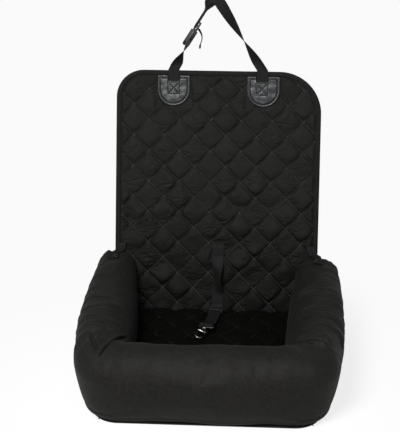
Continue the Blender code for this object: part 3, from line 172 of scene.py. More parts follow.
def wovenPaint(look):  # plain-weave polyester, its yarns along the piece's own UV in metres
    def paint(graph):
        place = graph.place()
        across = graph.split(graph.node("ShaderNodeUVMap"))
        pick = math.tau / look["yarn"]
        yarns = (across * pick).sine() * (across.out("Y") * pick).sine()
        grain = {0: across * look["grain"][0], 1: across.out("Y") * look["grain"][1]}
        slub = graph.noise(graph.node("ShaderNodeCombineXYZ", None, grain), 1, 2)
        cloud = graph.noise(place, look["cloud"], 4, 0.6)
        fold = graph.noise(place, look["fold"], 2, 0.45)
        mottle = graph.spread(graph.noise(place, weave["mottle"], 2, 0.6), 0.40, 0.60)
        broad = graph.spread(cloud, 0.3, 0.7) * weave["cloudShare"]
        shade = broad + graph.spread(slub, 0.34, 0.66) * weave["slubShare"] + mottle * weave["mottleShare"]
        lint = graph.spread(graph.noise(place, weave["lint"], 2, 0.7), 0.70, 0.80)
        colour = graph.mix(shade, look["dark"], look["light"])
        colour = graph.mix(lint * weave["lintShare"], colour, look["lint"])
        # painted shade: the quilting's seam lines are mixed towards the groove colour, a shadow in their
        # hollows
        if "seam" in look:
            middleX, middleY, pitch = look["seam"]
            u, v = across - middleX, across.out("Y") - middleY
            first = ((u + v) * (math.pi / pitch)).sine().size()
            second = ((u - v) * (math.pi / pitch)).sine().size()
            line = graph.spread(first.maths("MINIMUM", first, second), 0.02, 0.16)
            colour = graph.mix(line, look["groove"], colour)
        if "inner" in look:  # the sides that face the seat take less light
            spot = graph.split(place)
            near, far, front, rear, most = look["inner"]
            facing = graph.spread(spot.out("X").size(), near, far, 1.0, 0.0)
            behind = graph.spread(spot.out("Y"), front, rear)
            colour = graph.mix(facing * behind * most, colour, weave["unlit"])
        if "foot" in look:  # painted shade: the cloth is darker low down, where the bolsters stand round it
            height = graph.split(place).out("Z")
            low, high, shaded = look["foot"]
            colour = graph.mix(graph.spread(height, low, high), shaded, colour)
        return {
            "Base Color": colour,
            "Roughness": graph.spread(cloud, 0.3, 0.7, look["rough"] - 0.06, look["rough"] + 0.06),
            "height": yarns * look["yarnShare"] + fold + slub * 0.02,
            "depth": look["depth"],
        }
    return paint


boltCloth = newMaterial(
    "bolsterCloth",
    wovenPaint({
        "yarn": 0.0011, "cloud": 9, "fold": 26, "grain": (45, 420), "yarnShare": 0.03, "depth": 0.0013,
        "dark": (0.0046, 0.0044, 0.0037), "light": (0.0150, 0.0145, 0.0126), "lint": (0.05, 0.05, 0.05),
        "rough": 0.62, "inner": (0.160, 0.225, -0.13, -0.08, 0.65),
    }),
    Sheen_Weight=0.02, Sheen_Roughness=0.5, Specular_IOR_Level=0.16,
)
quilt = {  # the diamonds: their pitch, the middle of one on the panel and on the seat, and their pillows
    "pitch": 0.070, "centreX": -0.0175, "centreS": 0.014, "seatY": -0.020, "crown": 0.0066, "lift": -0.0010,
    "uneven": 0.10, "slant": 0.30, "flatShare": 0.40, "flatPower": 11, "roundPower": 2, "grid": 40,
    "pucker": 0.0020, "puckerStretch": 3.6, "puckerWidth": 0.16, "puckerSpots": 0.035, "puckerShare": 0.45,
}
quiltLook = {
    "yarn": 0.0009, "cloud": 14, "fold": 60, "grain": (420, 90), "yarnShare": 0.04, "depth": 0.0010,
    "dark": (0.0062, 0.0061, 0.0053), "light": (0.0132, 0.0130, 0.0115), "lint": (0.04, 0.04, 0.04),
    # groove is the colour of the painted shade along the seam lines
    "rough": 0.68, "groove": (0.0018, 0.0018, 0.0016),
}
quiltCloth = newMaterial(
    "quiltedCloth",
    wovenPaint({
        **quiltLook, "seam": (quilt["centreX"], quilt["centreS"], quilt["pitch"]),
        # foot: painted shade low on the panel, where the bolsters stand round it
        "foot": (0.03, 0.30, (0.0022, 0.0022, 0.0019)),
    }),
    Specular_IOR_Level=0.15,
)
# painted shade: a darker copy of the quilted cloth for the seat, which lies in shade between the bolsters
shadedSeatCloth = newMaterial(
    "shadedSeatCloth",
    wovenPaint({
        **quiltLook, "seam": (quilt["centreX"], quilt["seatY"], quilt["pitch"]), "rough": 0.80,
        "dark": (0.0010, 0.0010, 0.0008), "light": (0.0024, 0.0024, 0.0019),
        # groove: the painted shade along the seat's seam lines
        "groove": (0.0007, 0.0007, 0.0006),
    }),
    Specular_IOR_Level=0.06,
)


def webPaint(look):  # woven tape: ribs along it and picks across it
    def paint(graph):
        place = graph.place()
        across = graph.split(graph.node("ShaderNodeUVMap"))
        along = across.out("Y")
        rib = (across * (math.tau / look["rib"])).sine()
        pick = ((along + across * look["slant"]) * (math.tau / look["pick"])).sine()
        cloud = graph.noise(place, 60, 3, 0.6)
        wear = graph.spread(across.size(), look["half"] * 0.82, look["half"])
        shade = rib * 0.25 + pick * 0.25 + cloud * 0.5
        colour = graph.mix(graph.spread(shade, 0.0, 0.7), look["dark"], look["light"])
        colour = graph.mix(wear * 0.35, colour, look["worn"])
        return {
            "Base Color": colour,
            "Roughness": graph.spread(cloud, 0.3, 0.7, 0.60, 0.74),
            "height": rib * 0.35 + pick * 0.35 + cloud * 0.3,
            "depth": look["depth"],
        }
    return paint


webTape = newMaterial(
    "strapWebbing",
    webPaint({
        "rib": 0.0030, "slant": 0.5, "pick": 0.0016, "half": 0.01275, "depth": 0.00016,
        "dark": (0.0045, 0.0045, 0.0043), "light": (0.0120, 0.0120, 0.0116), "worn": (0.022, 0.022, 0.021),
    }),
    Specular_IOR_Level=0.16,
)
edgeTape = newMaterial(
    "bindingTape",
    webPaint({
        "rib": 0.0100, "slant": 0.0, "pick": 0.0013, "half": 0.0130, "depth": 0.00010,
        "dark": (0.005, 0.005, 0.0048), "light": (0.011, 0.011, 0.0106), "worn": (0.020, 0.020, 0.019),
    }),
    Specular_IOR_Level=0.12,
)


def leatherPaint(graph):
    place = graph.place()
    sockets = {"Vector": place, "Scale": 900}
    cells = graph.node("ShaderNodeTexVoronoi", {"feature": "DISTANCE_TO_EDGE"}, sockets)
    grain = graph.spread(cells, 0.0, 0.12)
    cloud = graph.noise(place, 45, 4, 0.6)
    crease = graph.noise(place, 220, 4, 0.7)
    rub = graph.spread(cloud, 0.45, 0.70)
    colour = graph.mix(rub, (0.0085, 0.0095, 0.0108), (0.0165, 0.0182, 0.0204))
    return {
        "Base Color": colour,
        "Roughness": graph.spread(crease, 0.3, 0.7, 0.28, 0.44),
        "height": grain * 0.5 + crease * 0.5,
        "depth": 0.00010,
    }


leather = newMaterial("patchLeather", leatherPaint, Specular_IOR_Level=0.60, Coat_Weight=0.08)


def gripPaint(graph):
    place = graph.place()
    speck = graph.noise(place, 500, 2, 0.6)
    cloud = graph.noise(place, 12, 3, 0.5)
    colour = graph.mix(speck * 0.6 + cloud * 0.4, (0.006, 0.006, 0.006), (0.016, 0.0155, 0.015))
    rough = graph.spread(cloud, 0.3, 0.7, 0.72, 0.88)
    return {"Base Color": colour, "Roughness": rough, "height": speck, "depth": 0.0004}


gripCloth = newMaterial("gripSheet", gripPaint, Specular_IOR_Level=0.3)


def boardPaint(graph):
    place = graph.place()
    fibre = graph.noise(place, 320, 5, 0.7)
    cloud = graph.noise(place, 18, 3, 0.5)
    colour = graph.mix(fibre * 0.6 + cloud * 0.4, (0.035, 0.028, 0.021), (0.075, 0.060, 0.046))
    rough = graph.spread(fibre, 0.3, 0.7, 0.7, 0.9)
    return {"Base Color": colour, "Roughness": rough, "height": fibre, "depth": 0.0003}


fibreBoard = newMaterial("fibreBoard", boardPaint)


def plasticPaint(graph):
    place = graph.place()
    spark = graph.noise(place, 1500, 3, 0.6)
    cloud = graph.noise(place, 90, 3, 0.5)
    scuff = graph.spread(graph.noise(place, 420, 4, 0.8), 0.62, 0.74)
    colour = graph.mix(cloud, (0.016, 0.016, 0.017), (0.026, 0.026, 0.027))
    colour = graph.mix(scuff * 0.3, colour, (0.09, 0.09, 0.09))
    return {
        "Base Color": colour,
        "Roughness": graph.spread(cloud, 0.3, 0.7, 0.30, 0.42),
        "height": spark,
        "depth": 0.00008,
    }


blackPlastic = newMaterial("blackPlastic", plasticPaint, Specular_IOR_Level=0.5)


def nickelPaint(graph):
    place = graph.place()
    cloud = graph.noise(place, 130, 3, 0.6)
    stretched = graph.node("ShaderNodeMapping", None, {"Vector": place, "Scale": (1, 1, 14)})
    scratch = graph.noise(stretched, 600, 3, 0.6)
    colour = graph.mix(cloud, (0.15, 0.148, 0.142), (0.26, 0.255, 0.245))
    rough = graph.spread(scratch, 0.3, 0.7, 0.12, 0.26)
    return {"Base Color": colour, "Roughness": rough, "height": scratch, "depth": 0.00003}


nickel = newMaterial("nickelPlate", nickelPaint, Metallic=1.0)


def studPaint(graph):
    place = graph.place()
    cloud = graph.noise(place, 300, 3, 0.6)
    colour = graph.mix(cloud, (0.030, 0.030, 0.030), (0.075, 0.073, 0.070))
    rough = graph.spread(cloud, 0.3, 0.7, 0.38, 0.55)
    return {"Base Color": colour, "Roughness": rough, "height": cloud, "depth": 0.00004}


blackNickel = newMaterial("blackNickel", studPaint, Metallic=1.0)


def threadPaint(dark, light):
    def paint(graph):
        place = graph.place()
        cloud = graph.noise(place, 700, 2, 0.6)
        rough = graph.spread(cloud, 0.3, 0.7, 0.45, 0.60)
        colour = graph.mix(cloud, dark, light)
        return {"Base Color": colour, "Roughness": rough, "height": cloud, "depth": 0.0001}
    return paint


palePaint = threadPaint((0.120, 0.117, 0.109), (0.190, 0.186, 0.174))
thread = newMaterial("stitchThread", palePaint, Specular_IOR_Level=0.3)
darkPaint = threadPaint((0.020, 0.020, 0.019), (0.040, 0.040, 0.038))
darkThread = newMaterial("bindingThread", darkPaint, Specular_IOR_Level=0.3)
print("materials made")


# the panel's own frame: across it, up along its front face from the seat line, and out of that face
panel = {  # padFace to tapeBack lie so far out of that face; sheetTop is the height of the underside's sheet
    "lean": math.radians(17.87), "seatLine": Vector((0, 0.215, 0.0475)), "width": 0.465, "top": 0.546,
    "fold": 0.160, "leftCorner": 0.062, "rightCorner": 0.095, "binding": 0.0107, "inset": 0.0018,
    "padFace": 0.0064, "padBack": -0.003, "coverFront": -0.0066, "coverBack": -0.0107, "tapeBack": -0.0104,
    "sheetTop": 0.0025, "foldRun": 0.011,
}
lean = panel["lean"]
alongPanel = Vector((0, math.sin(lean), math.cos(lean)))
outOfPanel = Vector((0, -math.cos(lean), math.sin(lean)))
panelFrame = Matrix.Translation(panel["seatLine"]) @ Matrix(
    ((1, 0, 0, 0), (0, alongPanel.y, outOfPanel.y, 0), (0, alongPanel.z, outOfPanel.z, 0), (0, 0, 0, 1))
)


def bendWithPanel(piece):
    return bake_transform(piece)


def ease(share):  # 0 to 1, slow at both ends
    share = np.clip(share, 0.0, 1.0)
    return share * share * (3 - 2 * share)


def blended(first, second, share):
    return first + (second - first) * share


def meshPiece(name, shape, material, frameMatrix=None):
    mesh = bpy.data.meshes.new(name)
    bmesh.ops.recalc_face_normals(shape, faces=shape.faces)
    shape.to_mesh(mesh)
    shape.free()
    if frameMatrix is not None:
        mesh.transform(frameMatrix)
    mesh.materials.append(material)
    mesh.shade_smooth()
    piece = bpy.data.objects.new(name, mesh)
    bpy.context.scene.collection.objects.link(piece)
    return piece


def plainMesh(piece):  # applies what modifiers it has
    state = bpy.context.evaluated_depsgraph_get()
    mesh = bpy.data.meshes.new_from_object(piece.evaluated_get(state))
    piece.modifiers.clear()
    piece.data = mesh
    return piece


def refine(piece, levels=1):
    step = piece.modifiers.new("refine", "SUBSURF")
    step.levels = step.render_levels = levels
    return plainMesh(piece)


def loft(name, rings, uvs, material, frameMatrix=None):  # a closed skin over rings, with its ends filled
    shape = bmesh.new()
    layer = shape.loops.layers.uv.new("UVMap")
    rows = [[shape.verts.new(p) for p in ring] for ring in rings]
    count = len(rows[0])
    for i, (near, far) in enumerate(zip(rows, rows[1:])):
        for k in range(count):
            face = shape.faces.new((near[k], near[(k + 1) % count], far[(k + 1) % count], far[k]))
            corners = (uvs[i][k], uvs[i][k + 1], uvs[i + 1][k + 1], uvs[i + 1][k])
            for corner, uv in zip(face.loops, corners):
                corner[layer].uv = uv
    shape.faces.new(rows[0])
    shape.faces.new(rows[-1][::-1])
    return meshPiece(name, shape, material, frameMatrix)


def insideOutline(points, outline):  # which points lie inside a closed outline
    x, y = points[:, 0], points[:, 1]
    inside = np.zeros(len(points), bool)
    for (ax, ay), (bx, by) in zip(outline, np.roll(outline, -1, 0)):
        crosses = (ay > y) != (by > y)
        slope = (bx - ax) / (by - ay) if by != ay else 0.0
        inside ^= crosses & (x < ax + (y - ay) * slope)
    return inside


def nearestOn(outline, points):  # the nearest place on a closed outline, and how far away it is
    best = np.full(len(points), 1e9)
    place = np.zeros((len(points), 2))
    for a, b in zip(outline, np.roll(outline, -1, 0)):
        run = b - a
        share = np.clip(((points - a) @ run) / max(run @ run, 1e-12), 0, 1)
        near = a + share[:, None] * run
        away = np.linalg.norm(points - near, axis=1)
        closer = away < best
        best[closer] = away[closer]
        place[closer] = near[closer]
    return place, best


def cutSheet(name, outline, pitch, centre, front, back, material, frameMatrix=None, cuts=()):
    # a grid of squares cut to an outline, raised to front(x, y, distance from the edge) and closed behind
    outline = np.array(outline, float)
    low, high = outline.min(0), outline.max(0)
    first = np.floor((low - centre) / pitch).astype(int)
    last = np.ceil((high - centre) / pitch).astype(int)
    steps = [np.arange(low, high + 1) for low, high in zip(first, last)]
    columns, lines = np.meshgrid(*steps, indexing="ij")
    grid = np.stack((centre[0] + columns * pitch, centre[1] + lines * pitch), -1)
    middles = (grid[:-1, :-1] + grid[1:, 1:]) / 2
    kept = insideOutline(middles.reshape(-1, 2), outline).reshape(middles.shape[:2])
    shape = bmesh.new()
    layer = shape.loops.layers.uv.new("UVMap")
    made = {}

    def corner(i, j):
        if (i, j) not in made:
            made[i, j] = shape.verts.new((*grid[i, j], 0))
        return made[i, j]

    for i, j in zip(*np.nonzero(kept)):
        shape.faces.new((corner(i, j), corner(i + 1, j), corner(i + 1, j + 1), corner(i, j + 1)))
    shape.verts.ensure_lookup_table()
    rim = [v for v in shape.verts if v.is_boundary]
    places, _ = nearestOn(outline, np.array([v.co[:2] for v in rim]))
    for vert, place in zip(rim, places):
        vert.co.xy = place
    flat = np.array([v.co[:2] for v in shape.verts])
    _, edge = nearestOn(outline, flat)
    heights = front(flat[:, 0], flat[:, 1], edge)
    for vert, height in zip(shape.verts, heights):
        vert.co.z = height
    walls = bmesh.ops.extrude_edge_only(shape, edges=[e for e in shape.edges if e.is_boundary])["geom"]
    for vert in walls:
        if isinstance(vert, bmesh.types.BMVert):
            vert.co.z = back
    rimBelow = [e for e in walls if isinstance(e, bmesh.types.BMEdge)]
    bottom = bmesh.ops.contextual_create(shape, geom=rimBelow)["faces"]
    for level in cuts:  # the back is cut across where it bends
        around = set(bottom)
        geom = list(around) + [e for f in around for e in f.edges] + [v for f in around for v in f.verts]
        cut = bmesh.ops.bisect_plane(shape, geom=list(set(geom)), plane_co=(0, level, 0), plane_no=(0, 1, 0))
        bottom = [f for f in cut["geom"] if isinstance(f, bmesh.types.BMFace)]
    for face in shape.faces:
        for loop in face.loops:
            loop[layer].uv = loop.vert.co.xy
    return meshPiece(name, shape, material, frameMatrix)


def roundedOutline(halfWidth, front, rear, radius, steps=12):
    middles = ((halfWidth, rear, 0), (-halfWidth, rear, 1), (-halfWidth, front, 2), (halfWidth, front, 3))
    places = []
    for x, y, quarter in middles:
        x -= math.copysign(radius, x)
        y -= radius if y == rear else -radius
        for k in range(steps + 1):
            angle = (quarter + k / steps) * math.pi / 2
            places.append((x + radius * math.cos(angle), y + radius * math.sin(angle)))
    return places


def panelEdge(inset, steps=16):  # from the lower left over the top to the lower right, with the way inwards
    half, top = panel["width"] / 2, panel["top"]
    places = []
    for sign, radius in ((-1, panel["leftCorner"]), (1, panel["rightCorner"])):
        centre = Vector((sign * (half - radius), top - radius))
        first = math.pi if sign < 0 else math.pi / 2
        for k in range(steps + 1):
            angle = first - k / steps * math.pi / 2
            outward = Vector((math.cos(angle), math.sin(angle)))
            places.append((centre + outward * (radius - inset), -outward))
    return places


def panelFoot(depth):  # where a layer of the panel meets the underside's sheet
    return (panel["sheetTop"] - panel["seatLine"].z - depth * math.sin(lean)) / math.cos(lean)


def panelOutline(inset, foot):
    half = panel["width"] / 2 - inset
    return [(-half, foot), *[tuple(p) for p, _ in panelEdge(inset)], (half, foot)]


def quiltHeight(x, y, centreY, seed):  # pillows between the stitched lines, each a little different
    p = (x - quilt["centreX"] + y - centreY) / quilt["pitch"]
    q = (x - quilt["centreX"] - y + centreY) / quilt["pitch"]
    share = np.abs(np.sin(np.pi * p)) * np.abs(np.sin(np.pi * q))
    table = np.random.RandomState(seed).uniform(-1, 1, (3, 64, 64))
    fill, slantP, slantQ = table[:, np.floor(p).astype(int) % 64, np.floor(q).astype(int) % 64]
    slant = quilt["slant"]
    fill = 1 - quilt["uneven"] + quilt["uneven"] * fill
    fill = fill + slant * slantP * (p % 1 - 0.5) + slant * slantQ * (q % 1 - 0.5)
    flat = quilt["flatShare"] * (1 - (1 - share) ** quilt["flatPower"])
    rounded = (1 - quilt["flatShare"]) * (1 - (1 - share) ** quilt["roundPower"])
    return quilt["crown"] * fill * (flat + rounded), share


def ripples(x, y, stretch, size, seed):  # soft creases, longer one way than the other
    places = zip(x / (size * stretch), y / size)
    return np.array([noise.noise(Vector((a, b, seed))) for a, b in places])


panelCovers = (  # what lies on the quilting: its middle, half width, both ends and the height left under it
    (-0.1023, 0.0385, 0.464, 0.548, 0.0008),
    (0.1010, 0.0385, 0.464, 0.548, 0.0008),
    (0.005, 0.0145, 0.120, 0.158, 0.0008),
    (0.005, 0.0150, 0.0, 0.120, 0.0058),
)


def puckers(x, y, size, seed):  # short level creases in a quilted pillow
    away = np.abs(ripples(x, y, quilt["puckerStretch"], size, seed)) / quilt["puckerWidth"]
    valley = 1 - np.clip(away, 0, 1)
    where = np.clip(ripples(x, y, 1.0, quilt["puckerSpots"], seed + 5) * 3 + quilt["puckerShare"], 0, 1)
    return -quilt["pucker"] * ease(valley) * where


panelFace = {  # folds, puckers and creases end with their size and seed; free is the height clear of a cover
    "seed": 3, "edgeRun": 0.007, "lowTo": 0.22, "lowRun": 0.14, "foldsUp": 0.0024, "foldsLow": 0.0080,
    "folds": (1.4, 0.042, 2.9), "puckers": (0.0075, 4.2), "creases": (1.3, 0.024, 7.7), "crease": 0.0012,
    "free": 0.0100, "freeRun": 0.012,
}


def panelFront(x, s, edge):
    pillow, share = quiltHeight(x, s, quilt["centreS"], panelFace["seed"])
    covered = panel["binding"] - panel["inset"]
    inside = ease((edge - covered) / panelFace["edgeRun"])
    lower = 1 - ease((s - panelFace["lowTo"]) / panelFace["lowRun"])
    broad = ripples(x, s, *panelFace["folds"]) * blended(panelFace["foldsUp"], panelFace["foldsLow"], lower)
    crease = puckers(x, s, *panelFace["puckers"]) + ripples(x, s, *panelFace["creases"]) * panelFace["crease"]
    height = quilt["lift"] + pillow * inside + (crease + broad) * ease(share * 3) * inside
    for middle, half, low, high, top in panelCovers:
        away = np.maximum(np.abs(x - middle) - half, np.maximum(low - s, s - high))
        height = np.minimum(height, blended(top, panelFace["free"], ease(away / panelFace["freeRun"])))
    return np.where(edge < covered, 0.0, height)


def makePanel():
    cuts = [panel["fold"] + k * panel["foldRun"] / 4 for k in range(-4, 5)]
    back = panel["padBack"]
    outline = panelOutline(panel["inset"], panelFoot(back))
    centre, pitch = (quilt["centreX"], quilt["centreS"]), quilt["pitch"] / quilt["grid"]
    pad = cutSheet("quiltedPanel", outline, pitch, centre, panelFront, back, quiltCloth, panelFrame, cuts)
    bendWithPanel(pad)
    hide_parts("upper_panel_pad", "lower_panel_pad")

    def backFace(x, s, edge):  # low under the tape, a little crowned behind
        rise = ease((edge - 0.0085) / 0.020)
        crease = ripples(x, s, 1.4, 0.045, 1.3) * 0.0006
        return -np.clip(0.0088 + 0.0016 * rise + crease * rise, 0.0087, -panel["coverBack"])

    outline = panelOutline(panel["inset"], panelFoot(panel["coverBack"]))
    centre, inner = (0, panel["fold"]), panel["coverFront"]
    cover = cutSheet("backCover", outline, 0.005, centre, backFace, inner, boltCloth, panelFrame, cuts)
    bendWithPanel(cover)
    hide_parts("upper_panel_back", "lower_panel_back")


binding = {  # the tape's section: how far in from the edge, and how far out of the panel's face
    "section": (
        (10.7, 1.2), (10.2, 1.75), (8.5, 1.8), (5.0, 1.8), (2.2, 1.65), (0.7, 0.9), (0.05, -0.6), (0.0, -4.3),
        (0.05, -8.0), (0.7, -9.5), (2.2, -10.2), (5.0, -10.4), (8.5, -10.4), (10.2, -10.3), (10.7, -9.7),
        (10.5, -8.95), (6.0, -8.9), (1.8, -8.9), (1.5, -8.5), (1.5, -0.2), (1.9, 0.3), (6.0, 0.3),
        (10.5, 0.35),
    ),
    "mm": 0.001, "wobble": 0.00012, "uvStart": -0.013, "uvStep": 0.0016,
    "steps": {"foot": 30, "fold": 13, "left": 50, "right": 46, "top": 40},
}


def makeBinding():
    half, steps = panel["width"] / 2, binding["steps"]
    foot = panelFoot(panel["tapeBack"])
    foldLow, foldHigh = panel["fold"] - panel["foldRun"], panel["fold"] + panel["foldRun"]
    levels = [*np.linspace(foot, foldLow, steps["foot"]), *np.linspace(foldLow, foldHigh, steps["fold"])[1:]]
    left = [*levels, *np.linspace(foldHigh, panel["top"] - panel["leftCorner"], steps["left"])[1:-1]]
    right = [*levels, *np.linspace(foldHigh, panel["top"] - panel["rightCorner"], steps["right"])[1:-1]]
    corner = panelEdge(0.0)
    split, count = len(corner) // 2, steps["top"]
    top = [blended(corner[split - 1][0], corner[split][0], k / count) for k in range(1, count)]
    places = [(Vector((-half, s)), Vector((1, 0))) for s in left]
    places += corner[:split] + [(p, Vector((0, -1))) for p in top] + corner[split:]
    places += [(Vector((half, s)), Vector((-1, 0))) for s in right[::-1]]
    rings, uvs, run, last = [], [], 0.0, None
    for point, inward in places:
        run += (point - last).length if last is not None else 0.0
        last = point
        wobble = binding["wobble"] * noise.noise(Vector((run * 90, 0.3, 0.7)))
        ring, row, around = [], [], binding["uvStart"]
        for r, t in binding["section"]:
            reach = r * binding["mm"] + (wobble if r > 9 else 0)
            ring.append((point.x + inward.x * reach, point.y + inward.y * reach, t * binding["mm"]))
            row.append((around, run))
            around += binding["uvStep"]
        rings.append(ring)
        uvs.append(row + [(around, run)])
    tape = loft("edgeBinding", rings, uvs, edgeTape, panelFrame)
    bendWithPanel(tape)
    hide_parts("upper_binding", "lower_binding_left", "lower_binding_right")


cushion = {  # sides: how far in the wall stands at each share of its height, as a share of the half width
    "half": 0.170, "front": -0.1125, "rear": 0.198, "radius": 0.020, "widening": 0.050, "rearRise": 0.0100,
    "seam": 0.0440, "bottom": 0.0058, "wall": 0.0071, "crown": 0.0035, "pillow": 0.85, "drop": 0.0062,
    "top": 0.0511,
    "sides": ((0.865, 0.036), (0.69, 0.012), (0.456, 0.0), (0.176, 0.012), (0.0, 0.047)),
}


def seatSwell(x, y):  # the height of the seat's middle, and how much it rises towards the panel
    half, middle = cushion["half"], (cushion["front"] + cushion["rear"]) / 2
    depth = (cushion["rear"] - cushion["front"]) / 2
    broad = np.maximum((1 - (x / half) ** 2) * (1 - ((y - middle) / depth) ** 2), 0)
    return cushion["seam"] + cushion["crown"] * broad, cushion["rearRise"] * ease((y - 0.060) / 0.120)


seatFace = {
    "seed": 11, "edgeRun": 0.024, "rearFrom": 0.100, "rearRun": 0.060, "puckers": (0.009, 9.1),
    "creases": (1.2, 0.020, 3.3), "crease": 0.0008, "pressed": 0.016, "pressedRun": 0.014,
}


def seatTop(x, y, edge):
    pillow, share = quiltHeight(x, y, quilt["seatY"], seatFace["seed"])
    middle, raised = seatSwell(x, y)
    crease = puckers(x, y, *seatFace["puckers"]) + ripples(x, y, *seatFace["creases"]) * seatFace["crease"]
    rear = ease((y - seatFace["rearFrom"]) / seatFace["rearRun"])
    drop = (1 - ease(edge / seatFace["edgeRun"])) * (1 - rear)
    pressed = 1 - ease((np.abs(x - tetherMiddle(y)) - seatFace["pressed"]) / seatFace["pressedRun"])
    height = middle + pillow * cushion["pillow"] + crease * ease(share * 3) - cushion["drop"] * drop
    return np.minimum(height, cushion["top"]) + raised * (1 - pressed)


def cushionOutline(inset, rearInset=None):
    rear = cushion["rear"] - (inset if rearInset is None else rearInset)
    return roundedOutline(cushion["half"] - inset, cushion["front"] + inset, rear, cushion["radius"])


def makeCushion():
    half, bottom = cushion["half"], cushion["bottom"]
    topInset = cushion["sides"][0][1] * half
    centre, pitch = (quilt["centreX"], quilt["seatY"]), quilt["pitch"] / quilt["grid"]
    pad = cutSheet("seatCushion", cushionOutline(topInset), pitch, centre, seatTop, bottom, shadedSeatCloth)
    shape = bmesh.new()
    shape.from_mesh(pad.data)
    rises = [e for e in shape.edges if abs(e.verts[0].co.z - e.verts[1].co.z) > 0.02]
    bmesh.ops.subdivide_edges(shape, edges=rises, cuts=11, use_grid_fill=False)
    span = cushion["seam"] + cushion["wall"] - bottom
    shares, insets = zip(*cushion["sides"][::-1])
    ring = [v for v in shape.verts if bottom - 1e-6 <= v.co.z < 0.030]
    places = np.array([v.co[:2] for v in ring])
    near, away = nearestOn(np.array(cushionOutline(topInset + 0.01)), places)
    for vert, place, close, distance in zip(ring, places, near, away):
        if distance < 0.005:
            continue
        grown = topInset - np.interp((vert.co.z - bottom) / span, shares, insets) * half
        vert.co.xy = place + (place - close) / distance * grown
    for vert in shape.verts:
        share = (vert.co.y - cushion["front"]) / (cushion["rear"] - cushion["front"])
        vert.co.x *= 1 + cushion["widening"] * share
    shape.to_mesh(pad.data)
    shape.free()
    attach(pad, "bed")
    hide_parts("seat_cushion")


bolster = {
    "height": 0.166, "widest": 0.106, "foot": 0.0025, "topPower": 2.35, "footPower": 6.0, "taper": 0.32,
    "outerRear": 0.2685, "outerCorner": 0.273, "outerBow": 0.016, "outerFront": -0.2266, "outerRadius": 0.082,
    "innerRear": 0.180, "innerCorner": 0.164, "innerBow": -0.004, "innerFront": -0.1056, "innerRadius": 0.014,
    "frontBow": 0.004, "tiltLength": 0.150, "outLength": 0.27, "dip": 0.004, "tieHeight": 0.1725,
    "left": {"rise": 0.020, "out": 0.015, "slope": 0.022},
    "right": {"rise": 0.004, "out": 0.030, "slope": 0.010},
    "side": 92, "corner": 40, "front": 44, "around": 84,
    "slack": 0.0015, "growth": 0.060, "pressure": 4.0, "frames": 20, "travel": 0.0085,
    "cloth": {
        "quality": 6, "mass": 0.25, "tension_stiffness": 18, "compression_stiffness": 18,
        "shear_stiffness": 6, "bending_stiffness": 0.35,
    },
    "foldShare": 1.25, "bankShare": 0.30, "bankWidth": 3.2,
}
skinHold = {  # where the cloth is held, low down and at the rear, and where it grows
    "low": 0.010, "lowRun": 0.016, "rearGap": 0.012, "rear": 0.014, "rearRun": 0.012,
    "side": 0.16, "sideRun": 0.03, "least": 0.4, "height": 0.05, "heightRun": 0.06,
}
underTie = {"side": 0.238, "sideRun": 0.012, "rear": 0.170, "rearRun": 0.035, "above": 0.150}
pleat = {  # creases across the side bolsters, which fan out from a pivot at each front corner
    "pivotX": 0.152, "pivotY": -0.088, "pitch": 0.0125, "depth": 0.0062, "fan": 0.070, "slant": 0.22,
    "slantFrom": 0.22, "warp": 2.3, "power": 0.6, "level": 0.75, "even": 0.55, "uneven": 1.6, "most": 1.25,
    "side": 0.165, "sideRun": 0.03, "low": 0.045, "lowRun": 0.07, "rear": 0.19, "rearRun": 0.12,
    "rearLeast": 0.45, "front": 0.035, "frontRun": 0.075, "spotRun": 0.030, "spotSize": 0.14,
}
dimple = {
    "depth": 0.0028, "hollow": 0.0040, "size": (0.030, 0.12, 0.16), "side": 0.20, "sideRun": 0.05,
    "front": 0.09, "frontRun": 0.02, "low": 0.085, "lowRun": 0.06,
}


def bolsterEdge(side, rearY):  # the outer or the inner side of half the U, seen from above
    names = ("Rear", "Corner", "Bow", "Front", "Radius")
    rearX, cornerX, bow, frontY, radius = (bolster[side + name] for name in names)
    places = []
    cornerY = frontY + radius
    for k in range(bolster["side"]):
        share = k / bolster["side"]
        x = blended(rearX, cornerX, share) + bow * math.sin(math.pi * share)
        places.append(Vector((x, blended(rearY, cornerY, share))))
    for k in range(bolster["corner"] + 1):
        angle = -k / bolster["corner"] * math.pi / 2
        x = cornerX - radius + radius * math.cos(angle)
        places.append(Vector((x, cornerY + radius * math.sin(angle))))
    for k in range(1, bolster["front"] + 1):
        share = k / bolster["front"]
        y = frontY - bolster["frontBow"] * math.sin(math.pi / 2 * share)
        places.append(Vector((blended(cornerX - radius, 0.0, share), y)))
    return places


